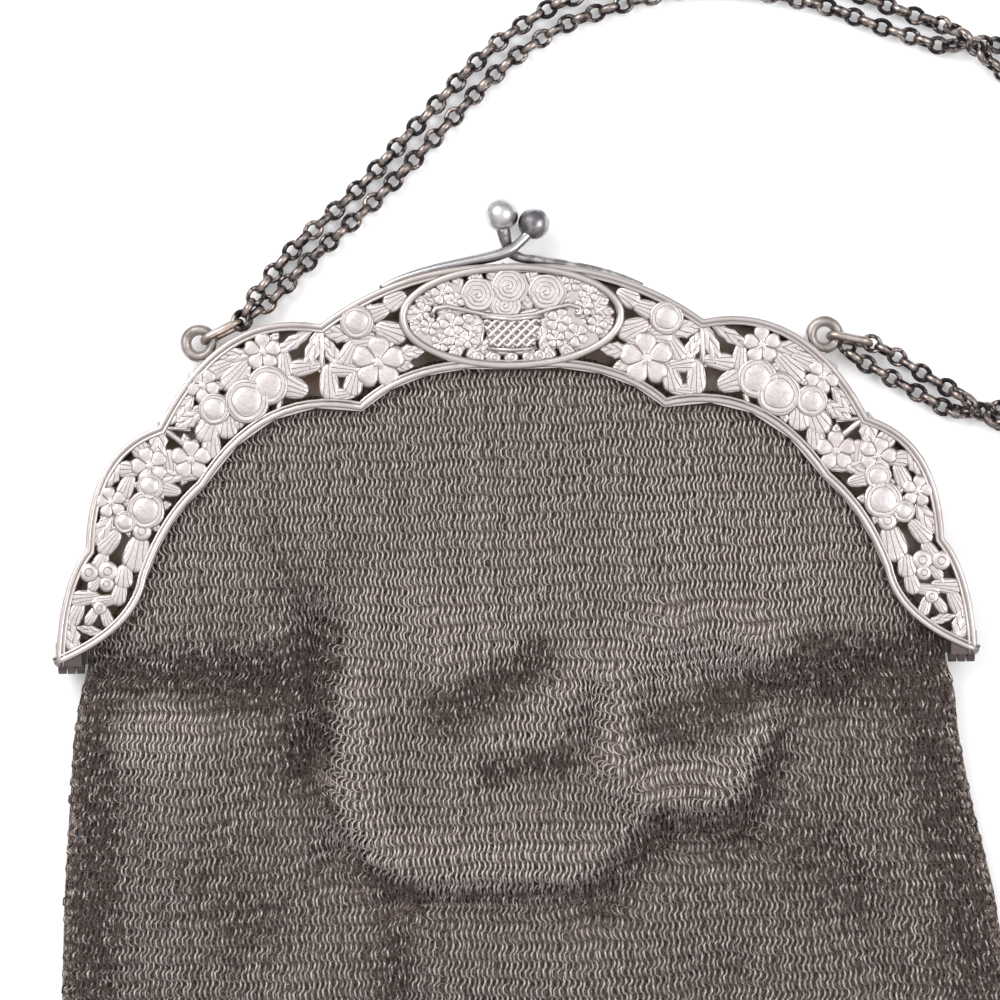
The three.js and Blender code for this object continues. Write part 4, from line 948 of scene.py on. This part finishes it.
# Start and end of each fold across and down, its spread and lift, as shares
bag_folds = np.array((
    (-0.1, 0.13, -0.08, 0.24, 0.26, 0.26),
    (-0.36, 0.08, -0.37, 0.26, 0.075, 0.2),
    (-0.37, 0.26, -0.25, 0.33, 0.075, 0.2),
    (-0.25, 0.33, 0.14, 0.335, 0.075, 0.18),
    (0.14, 0.335, 0.25, 0.26, 0.075, 0.18),
    (-0.475, -0.04, -0.455, 0.17, 0.055, -0.38),
    (-0.455, 0.17, -0.4, 0.31, 0.055, -0.26),
    (-0.4, 0.31, -0.27, 0.385, 0.055, -0.26),
    (-0.27, 0.385, 0.17, 0.39, 0.055, -0.24),
    (0.17, 0.39, 0.3, 0.3, 0.055, -0.26),
    (0.24, 0.05, 0.225, 0.17, 0.05, 0.22),
    (0.225, 0.17, 0.31, 0.225, 0.055, 0.26),
    (0.31, 0.225, 0.44, 0.225, 0.055, 0.28),
    (0.44, 0.225, 0.54, 0.14, 0.055, 0.24),
    (0.17, 0.06, 0.165, 0.15, 0.04, -0.2),
    (0.33, 0.285, 0.48, 0.285, 0.05, -0.26),
    (0.48, 0.285, 0.6, 0.14, 0.05, -0.22),
    (0.12, 0.05, 0.36, -0.045, 0.06, 0.2),
    (0.36, -0.045, 0.56, -0.03, 0.05, 0.2),
    (0.56, -0.03, 0.72, 0.04, 0.05, 0.18),
    (0.46, 0.05, 0.74, 0.085, 0.055, -0.26),
    (-0.95, 0.03, -0.58, 0.05, 0.06, -0.26),
    (0.76, 0.04, 0.93, 0.04, 0.06, -0.24),
    (-0.17, -0.05, -0.14, 0.05, 0.06, 0.14),
    (0.03, 0.02, -0.1, 0.06, 0.06, -0.14),
    (-0.06, 0.19, 0.06, 0.19, 0.05, -0.1),
    (-0.86, 0.13, -0.72, 0.13, 0.08, 0.12),
    (-0.74, 0.24, -0.73, 0.42, 0.09, 0.14),
    (-0.25, 0.42, -0.24, 0.58, 0.05, -0.16),
    (0.7, 0.32, 0.78, 0.52, 0.07, -0.16),
    (-0.48, 0.52, -0.52, 0.88, 0.09, 0.14),
    (0.14, 0.48, 0.08, 0.9, 0.1, 0.16),
    (0.42, 0.5, 0.45, 0.86, 0.07, -0.14),
    (0.84, 0.6, 0.8, 0.86, 0.08, 0.12),
))
# Down, left edge and right edge, as shares
bag_sides = np.array((
    (-0.04, 0.936, 0.936),
    (0.022, 0.937, 0.937),
    (0.04, 0.952, 0.954),
    (0.12, 0.971, 0.962),
    (0.235, 0.984, 0.991),
    (0.375, 0.998, 1.038),
    (0.525, 1.006, 1.068),
    (0.7, 1.01, 1.066),
    (0.84, 1.0, 1.045),
    (0.92, 0.982, 1.02),
    (0.97, 0.95, 0.985),
    (1, 0.9, 0.935),
))
mouth_line = moved_aside(edge_line(arch_lobes, 4), tuck_in)

# Finer folds of the mail alone, in the same columns
fine_folds = np.array((
    (-0.09, -0.32, -0.07, -0.02, 0.02, 0.05),
    (-0.04, -0.32, -0.02, -0.05, 0.02, -0.05),
    (0.25, -0.3, 0.27, -0.08, 0.02, 0.04),
    (-0.62, -0.12, -0.55, 0.0, 0.03, 0.04),
    (-0.25, -0.3, -0.3, -0.05, 0.03, -0.04),
    (0.5, -0.22, 0.56, -0.06, 0.03, -0.04),
    (-0.2, 0.2, 0.0, 0.24, 0.03, 0.04),
    (0.3, 0.12, 0.5, 0.1, 0.03, 0.05),
))


def fold_lift(across, down, folds):
    # How high the folds stand, as a share of the height of the bag
    aspect = drop / half_width
    lift = np.zeros_like(across)
    for from_across, from_down, to_across, to_down, spread, amount in folds:
        along_x, along_y = to_across - from_across, (to_down - from_down) * aspect
        off_x, off_y = across - from_across, (down - from_down) * aspect
        share = np.clip((off_x * along_x + off_y * along_y) / (along_x ** 2 + along_y ** 2), 0, 1)
        distance = np.hypot(off_x - share * along_x, off_y - share * along_y)
        lift += amount * np.exp(-((distance / spread) ** 2))
    return lift


def soft_step(value, low, high):
    # From 0 at the low value to 1 at the high one, without a corner
    share = np.clip((value - low) / (high - low), 0, 1)
    return share * share * (3 - 2 * share)


def bag_point(across, y):
    # Outer skin of the front, from the side seams and the height up or down from the hinge line
    across = np.clip(across, -0.998, 0.998)
    half = np.where(across < 0, bag_sides[0, 1], bag_sides[0, 2]) * half_width
    mouth = np.maximum(np.interp(across * half, mouth_line[:, 0], mouth_line[:, 1]) - hinge_y, 0.0032)
    run = np.clip((mouth - y) / (mouth + drop), 0, 1)
    down = -y / drop
    left = np.interp(down, bag_sides[:, 0], bag_sides[:, 1])
    right = np.interp(down, bag_sides[:, 0], bag_sides[:, 2])
    x = across * np.where(across < 0, left, right) * half_width
    clear = soft_step(mouth - y, tuck_in - 0.0015, tuck_in + 0.005)
    seam = closed_depth / 2 + (edge_height - closed_depth / 2) * soft_step(-y, 0, drop / 4)
    lift = fold_lift(across, down, bag_folds) + fold_lift(across, down, fine_folds)
    front = mouth_height + (bag_height * (1 + lift - 0.18 * run) - mouth_height) * clear
    side_close = np.sqrt(1 - np.abs(across) ** 7)
    bottom_close = np.sqrt(np.maximum(1 - np.clip((run - 0.9) / 0.1, 0, 1) ** 2, 0))
    z = seam + (front - seam) * side_close * bottom_close
    return np.stack([x, y + hinge_y, z], 1), lift


def across_of(x, y):
    # The share across at which the skin has this x
    down = -y / drop
    left = np.interp(down, bag_sides[:, 0], bag_sides[:, 1])
    right = np.interp(down, bag_sides[:, 0], bag_sides[:, 2])
    return x / (np.where(x < 0, left, right) * half_width)


# Shell under the rings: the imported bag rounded, with both walls of its front sunk below them
shell = bmesh.new()
shell.from_mesh(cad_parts["mesh_bag"].data)
bmesh.ops.remove_doubles(shell, verts=shell.verts, dist=0.00001)
bmesh.ops.subdivide_edges(shell, edges=shell.edges, cuts=1, use_grid_fill=True)
bmesh.ops.recalc_face_normals(shell, faces=shell.faces)
shell.normal_update()
places = np.array([corner.co for corner in shell.verts])
facing = np.array([corner.normal.z for corner in shell.verts])
skin, lift = bag_point(across_of(places[:, 0], places[:, 1] - hinge_y), places[:, 1] - hinge_y)
outside_sinks = 0.0016
inside_sinks = 0.0026
lowest = 0.003
under = np.where(facing > 0, outside_sinks, inside_sinks)
front_wall = (places[:, 2] > lowest + 0.0004) & (np.abs(facing) > 0.15)
sunk_wall = np.minimum(places[:, 2], np.maximum(skin[:, 2] - under, lowest))
heights = np.where(front_wall, sunk_wall, places[:, 2])
for corner, height in zip(shell.verts, heights):
    corner.co.z = height
under_silver = silver(
    "bag_shell_silver", clean=(0.62, 0.51, 0.43), tarnish=(0.46, 0.36, 0.29), dirt=(0.34, 0.26, 0.2),
    patch_size=200, patch_share=0.9, hollow_depth=0.001, polish=0.5,
)


def ring_rows(material, ring_pitch, row_pitch, dark, depth):
    # Rows of leaning rings in colour and relief, for the back of the bag, with painted shade in the gaps
    # between the wires and the rows
    tree = material.node_tree
    place = add_node(tree, "TexCoord", {}).outputs["Object"]
    # Each row leans the other way, so the wires run in a zigzag
    leaning = add_node(tree, "TexWave", {
        "Vector": place, "Scale": math.pi / 10 / (2 * row_pitch)}, bands_direction="Y")
    aside = add_node(tree, "Math", {0: leaning.outputs["Fac"], 1: ring_pitch}, operation="MULTIPLY")
    shift = add_node(tree, "CombineXYZ", {"X": aside.outputs["Value"]})
    moved = add_node(tree, "VectorMath", {0: place, 1: shift.outputs["Vector"]})
    wires = add_node(tree, "TexWave", {
        "Vector": moved.outputs["Vector"], "Scale": math.pi / 10 / ring_pitch})
    # Painted shade in soft lines between the rows
    rows = add_node(tree, "TexWave", {
        "Vector": place, "Scale": math.pi / 10 / row_pitch}, bands_direction="Y")
    fading = add_node(tree, "Math", {0: rows.outputs["Fac"], 1: 0.3}, operation="MULTIPLY")
    raised = add_node(tree, "Math", {
        0: wires.outputs["Fac"], 1: 0.7, 2: fading.outputs["Value"]}, operation="MULTIPLY_ADD")
    # Painted shade where the painted wires are low, between them and between the rows
    darkened(material, dark, raised.outputs["Value"])
    sunk(material, depth, raised.outputs["Value"])


ring_pitch = 0.00096
row_pitch = 0.00155
# The dark tone is the painted shade in the gaps of the back of the bag
ring_rows(under_silver, ring_pitch, row_pitch, dark=(0.2, 0.155, 0.125), depth=0.0003)
finish_piece("bag_shell", shell, under_silver, ("mesh_bag",))

mail_radius = 0.00102
mail_wire_radius = 0.00021
columns = 176
rows_in_band = 22
bands = 5
mail_ring = wire_ring(mail_radius, mail_wire_radius, 7, 3)
ring_corners = len(mail_ring.vertices)
top_row = 0.0535

# Two rings, one below the other, leaning opposite ways, repeated across and down
pair = bmesh.new()
for lean, aside, down, height in ((52, 0, 0, 0.0002), (-60, ring_pitch / 2, -row_pitch, -0.0002)):
    before = len(pair.verts)
    pair.from_mesh(mail_ring)
    pair.verts.ensure_lookup_table()
    turn = Matrix.Rotation(math.radians(lean), 4, "Y") @ Matrix.Rotation(math.radians(-8), 4, "X")
    put = Matrix.Translation((aside, down, height)) @ turn
    bmesh.ops.transform(pair, matrix=put, verts=pair.verts[before:])
pair_mesh = bpy.data.meshes.new("ring_pair")
pair.to_mesh(pair_mesh)
pair.free()
sheet = bpy.data.objects.new("mail_sheet", pair_mesh)
bpy.context.scene.collection.objects.link(sheet)
for step, count in (((ring_pitch, 0, 0), columns), ((0, -2 * row_pitch, 0), rows_in_band // 2)):
    repeat = sheet.modifiers.new("repeat", "ARRAY")
    repeat.use_relative_offset = False
    repeat.use_constant_offset = True
    repeat.constant_offset_displace = step
    repeat.count = count
flat_mesh = bpy.data.meshes.new_from_object(sheet.evaluated_get(bpy.context.evaluated_depsgraph_get()))
bpy.data.objects.remove(sheet)
flat = np.zeros(len(flat_mesh.vertices) * 3)
flat_mesh.vertices.foreach_get("co", flat)
flat = flat.reshape(-1, ring_corners, 3)

# Length across the bag, so that the rings keep their distance round the side edges
ways = np.linspace(-1, 1, 801)
depth = 0.0062 * np.sqrt(np.maximum(1 - np.abs(ways) ** 7, 0))
reached = np.concatenate([[0], np.cumsum(np.hypot(np.diff(ways) * half_width, np.diff(depth)))])
reached /= reached[-1]

# Painted shade and painted highlights on the mail, in the columns of the folds: painted shade in the creases
# and along the sides, painted highlights on the ridges
painted_shading_strokes = np.array((
    (-0.96, 0.015, -0.6, 0.035, 0.055, 1.0),
    (-0.62, 0.03, -0.46, 0.01, 0.06, 0.8),
    (-0.455, -0.03, -0.45, 0.12, 0.045, 1.2),
    (-0.53, 0.03, -0.5, 0.18, 0.06, 0.6),
    (0.7, 0.0, 0.96, 0.02, 0.05, 1.2),
    (-0.97, 0.1, -0.96, 1, 0.075, 1.5),
    (0.985, 0.02, 0.975, 1, 0.085, 1.7),
    (0.62, -0.08, 0.4, 0.02, 0.1, -0.3),
    (-0.416, 0.225, -0.34, 0.333, 0.022, 0.9),
    (-0.34, 0.333, -0.21, 0.372, 0.022, 0.9),
    (-0.21, 0.372, 0.138, 0.364, 0.02, 0.6),
    (0.138, 0.364, 0.268, 0.302, 0.022, 0.7),
    (0.268, 0.302, 0.31, 0.248, 0.022, 0.7),
    (0.31, 0.248, 0.42, 0.264, 0.025, 0.6),
    (0.42, 0.264, 0.529, 0.209, 0.025, 0.6),
    (0.529, 0.209, 0.594, 0.132, 0.025, 0.8),
    (-0.166, 0.085, 0.051, 0.008, 0.05, 1.1),
    (-0.058, 0.178, 0.094, 0.163, 0.035, 0.9),
    (0.32, 0.12, 0.47, 0.085, 0.05, 0.7),
    (0.47, 0.085, 0.66, 0.02, 0.04, 0.75),
    (0.66, 0.03, 0.9, 0.07, 0.05, 0.5),
    (-0.86, 0.116, -0.8, 0.116, 0.08, -1.0),
    (0.02, 0.09, 0.18, 0.03, 0.03, -0.6),
    (0.18, 0.04, 0.398, -0.047, 0.03, -0.8),
    (0.192, 0.054, 0.246, 0.163, 0.03, -0.9),
    (0.246, 0.178, 0.485, 0.194, 0.035, -0.9),
    (0.485, 0.194, 0.58, 0.09, 0.03, -0.5),
    (-0.39, 0.03, -0.37, 0.27, 0.045, -0.7),
    (-0.36, 0.3, 0.094, 0.318, 0.04, -0.4),
    (-0.05, 0.14, 0.05, 0.13, 0.03, -0.5),
    (-0.3, -0.09, -0.05, -0.03, 0.07, -0.35),
    (0.4, -0.22, 0.55, -0.18, 0.12, -0.3),
    (-0.4, -0.15, -0.75, -0.02, 0.07, 0.3),
    (-0.6, -0.22, -0.5, -0.1, 0.05, 0.3),
    (-0.7, 0.35, -0.6, 0.4, 0.1, 0.4),
    (0.6, 0.3, 0.68, 0.36, 0.09, 0.5),
    (-0.28, 0.45, -0.3, 0.6, 0.04, 0.6),
))

# The rings at the side edges stay over the shell
mail_narrowing = 0.992


def drape(corners):
    # From the flat sheet onto the bag: across, up or down, and above the skin
    across = np.interp(corners[:, 0] / ((columns - 1) * ring_pitch), reached, ways)
    across = np.clip(across, -0.996, 0.996)
    spot, lift = bag_point(across, corners[:, 1])
    step_across = bag_point(across + 0.0015, corners[:, 1])[0] - bag_point(across - 0.0015, corners[:, 1])[0]
    step_up = bag_point(across, corners[:, 1] + 0.0002)[0] - spot
    normal = np.cross(step_across, step_up)
    normal /= np.linalg.norm(normal, axis=1)[:, None]
    spot = spot * [mail_narrowing, 1, 1]
    # The last value is the painted shade and painted highlights of the strokes
    return spot + normal * corners[:, 2:3], lift, fold_lift(across, -corners[:, 1] / drop, painted_shading_strokes)


mail_silver = silver(
    "mail_silver", clean=(0.58, 0.525, 0.50), tarnish=(0.15, 0.125, 0.118), dirt=(0.38, 0.3, 0.255),
    patch_size=700, patch_share=0.9, hollow_depth=0.0007, polish=0.52,
)
# On the mail the tarnish value also carries the painted highlights and painted shade of its folds
tarnish_from_mesh(mail_silver)
# Lean in degrees, the rest in metres; each has a slow swing over the bag or a chance from ring to ring
lean_swing = 9
lean_chance = 8
place_chance = 0.00009
height_swing = 0.00012
height_chance = 0.00006
tarnish_chance = 0.12
row_bend = 0.005
mouth_overlap = 0.0004
bottom_clearance = 0.001
chance = np.random.default_rng(11)
for band in range(bands):
    rings = flat.copy()
    rings[:, :, 1] += top_row - band * rows_in_band * row_pitch
    middle = rings.mean(1)
    wave = np.sin(middle[:, 0] * 690 + 3 * np.sin(middle[:, 1] * 300))
    wave *= np.sin(middle[:, 1] * 850 + middle[:, 0] * 130)
    lean = np.radians(lean_swing * wave + chance.normal(0, lean_chance, len(rings)))[:, None]
    offset = rings - middle[:, None, :]
    rings[:, :, 0] += offset[:, :, 0] * (np.cos(lean) - 1) + offset[:, :, 2] * np.sin(lean)
    rings[:, :, 2] += offset[:, :, 2] * (np.cos(lean) - 1) - offset[:, :, 0] * np.sin(lean)
    rings[:, :, :2] += chance.normal(0, place_chance, (len(rings), 1, 2))
    straying = 0.00022 * np.sin(middle[:, 0] * 260 + 2 * np.sin(middle[:, 1] * 90))
    straying += 0.00014 * np.sin(middle[:, 0] * 610 + middle[:, 1] * 400)
    # Rows bend round the folds they cross
    ways_across = np.interp(middle[:, 0] / ((columns - 1) * ring_pitch), reached, ways)
    straying -= row_bend * fold_lift(ways_across, -middle[:, 1] / drop, bag_folds)
    rings[:, :, 1] += straying[:, None]
    rings[:, :, 2] += (height_swing * wave + chance.normal(0, height_chance, len(rings)))[:, None]
    draped, lift, painted_shading = drape(rings.reshape(-1, 3))
    flat_mesh.vertices.foreach_set("co", draped.ravel())
    places = draped.reshape(-1, ring_corners, 3).mean(1)
    arch_here = np.interp(places[:, 0], arch_line[:, 0], arch_line[:, 1])
    over_frame = places[:, 1] > arch_here + mouth_overlap
    dropped = over_frame | (rings[:, :, 1].mean(1) < bottom_clearance - drop)
    mail = bmesh.new()
    mail.from_mesh(flat_mesh)
    mail.verts.ensure_lookup_table()
    tarnish = mail.verts.layers.float.new("tarnish")
    # Greyer below the frame; painted highlights where the folds stand up and painted shade where they sink,
    # and the painted shade and highlights of the strokes
    share = 0.4 + 0.5 * soft_step(-rings[:, :, 1].ravel() / drop, -0.02, 0.08) - 1.3 * lift + 1.5 * painted_shading
    share += np.repeat(chance.normal(0, tarnish_chance, len(rings)), ring_corners)
    for corner, amount in zip(mail.verts, np.clip(share, 0.1, 2.4)):
        corner[tarnish] = amount
    doomed = []
    for ring in np.nonzero(dropped)[0]:
        doomed += mail.verts[ring * ring_corners:(ring + 1) * ring_corners]
    bmesh.ops.delete(mail, geom=doomed, context="VERTS")
    finish_piece(f"bag_mail_{band + 1}", mail, mail_silver)
bpy.data.meshes.remove(flat_mesh)


# TABLE, LIGHT AND CAMERA
# A plain white table under wide soft lights, seen from straight above with a long lens.

table_mesh = bpy.data.meshes.new("table")
table = bmesh.new()
bmesh.ops.create_grid(table, x_segments=1, y_segments=1, size=3)
table.to_mesh(table_mesh)
table.free()
floor = bpy.data.objects.new("table", table_mesh)
bpy.context.scene.collection.objects.link(floor)
white = bpy.data.materials.new("white_table")
white.use_nodes = True
feed(white.node_tree.nodes["Principled BSDF"], {
    "Base Color": (0.93, 0.93, 0.93, 1), "Roughness": 0.9,
    "Emission Color": (1, 1, 1, 1), "Emission Strength": 0.1,
})
floor.data.materials.append(white)

room = bpy.data.worlds.new("room")
bpy.context.scene.world = room
room.use_nodes = True
sky = add_node(room.node_tree, "TexCoord", {})
height = add_node(room.node_tree, "SeparateXYZ", {"Vector": sky.outputs["Generated"]})
brighter = add_node(room.node_tree, "MapRange", {
    "Value": height.outputs["Z"], "From Min": 0.1, "From Max": 0.95, "To Min": 0.3, "To Max": 1.12})
feed(room.node_tree.nodes["Background"], {
    "Color": (0.96, 0.97, 1, 1), "Strength": brighter.outputs["Result"]})

for name, place, size, power in (
    ("window_light", (-0.7, 0.6, 0.9), 0.8, 12),
    ("fill_light", (0.8, 0.0, 1.0), 0.8, 6),
):
    light = bpy.data.lights.new(name, "AREA")
    light.size = size
    light.energy = power
    lamp = bpy.data.objects.new(name, light)
    lamp.location = place
    lamp.rotation_euler = (Vector((0, -0.03, 0)) - Vector(place)).to_track_quat("-Z", "Y").to_euler()
    bpy.context.scene.collection.objects.link(lamp)

camera_height = 0.76
frame_height = 0.01
# Width of the photo at the height of the frame
seen_width = 0.1737
lens = bpy.data.cameras.new("camera")
lens.sensor_width = 36
lens.lens = lens.sensor_width * (camera_height - frame_height) / seen_width
lens.clip_end = 10
camera = bpy.data.objects.new("camera", lens)
camera.location = (-0.00249, 0.02696 + hinge_y, camera_height)
camera.rotation_euler = Euler((0, 0, math.radians(-0.8)))
bpy.context.scene.collection.objects.link(camera)
bpy.context.scene.camera = camera
bpy.context.scene.view_settings.view_transform = "Standard"
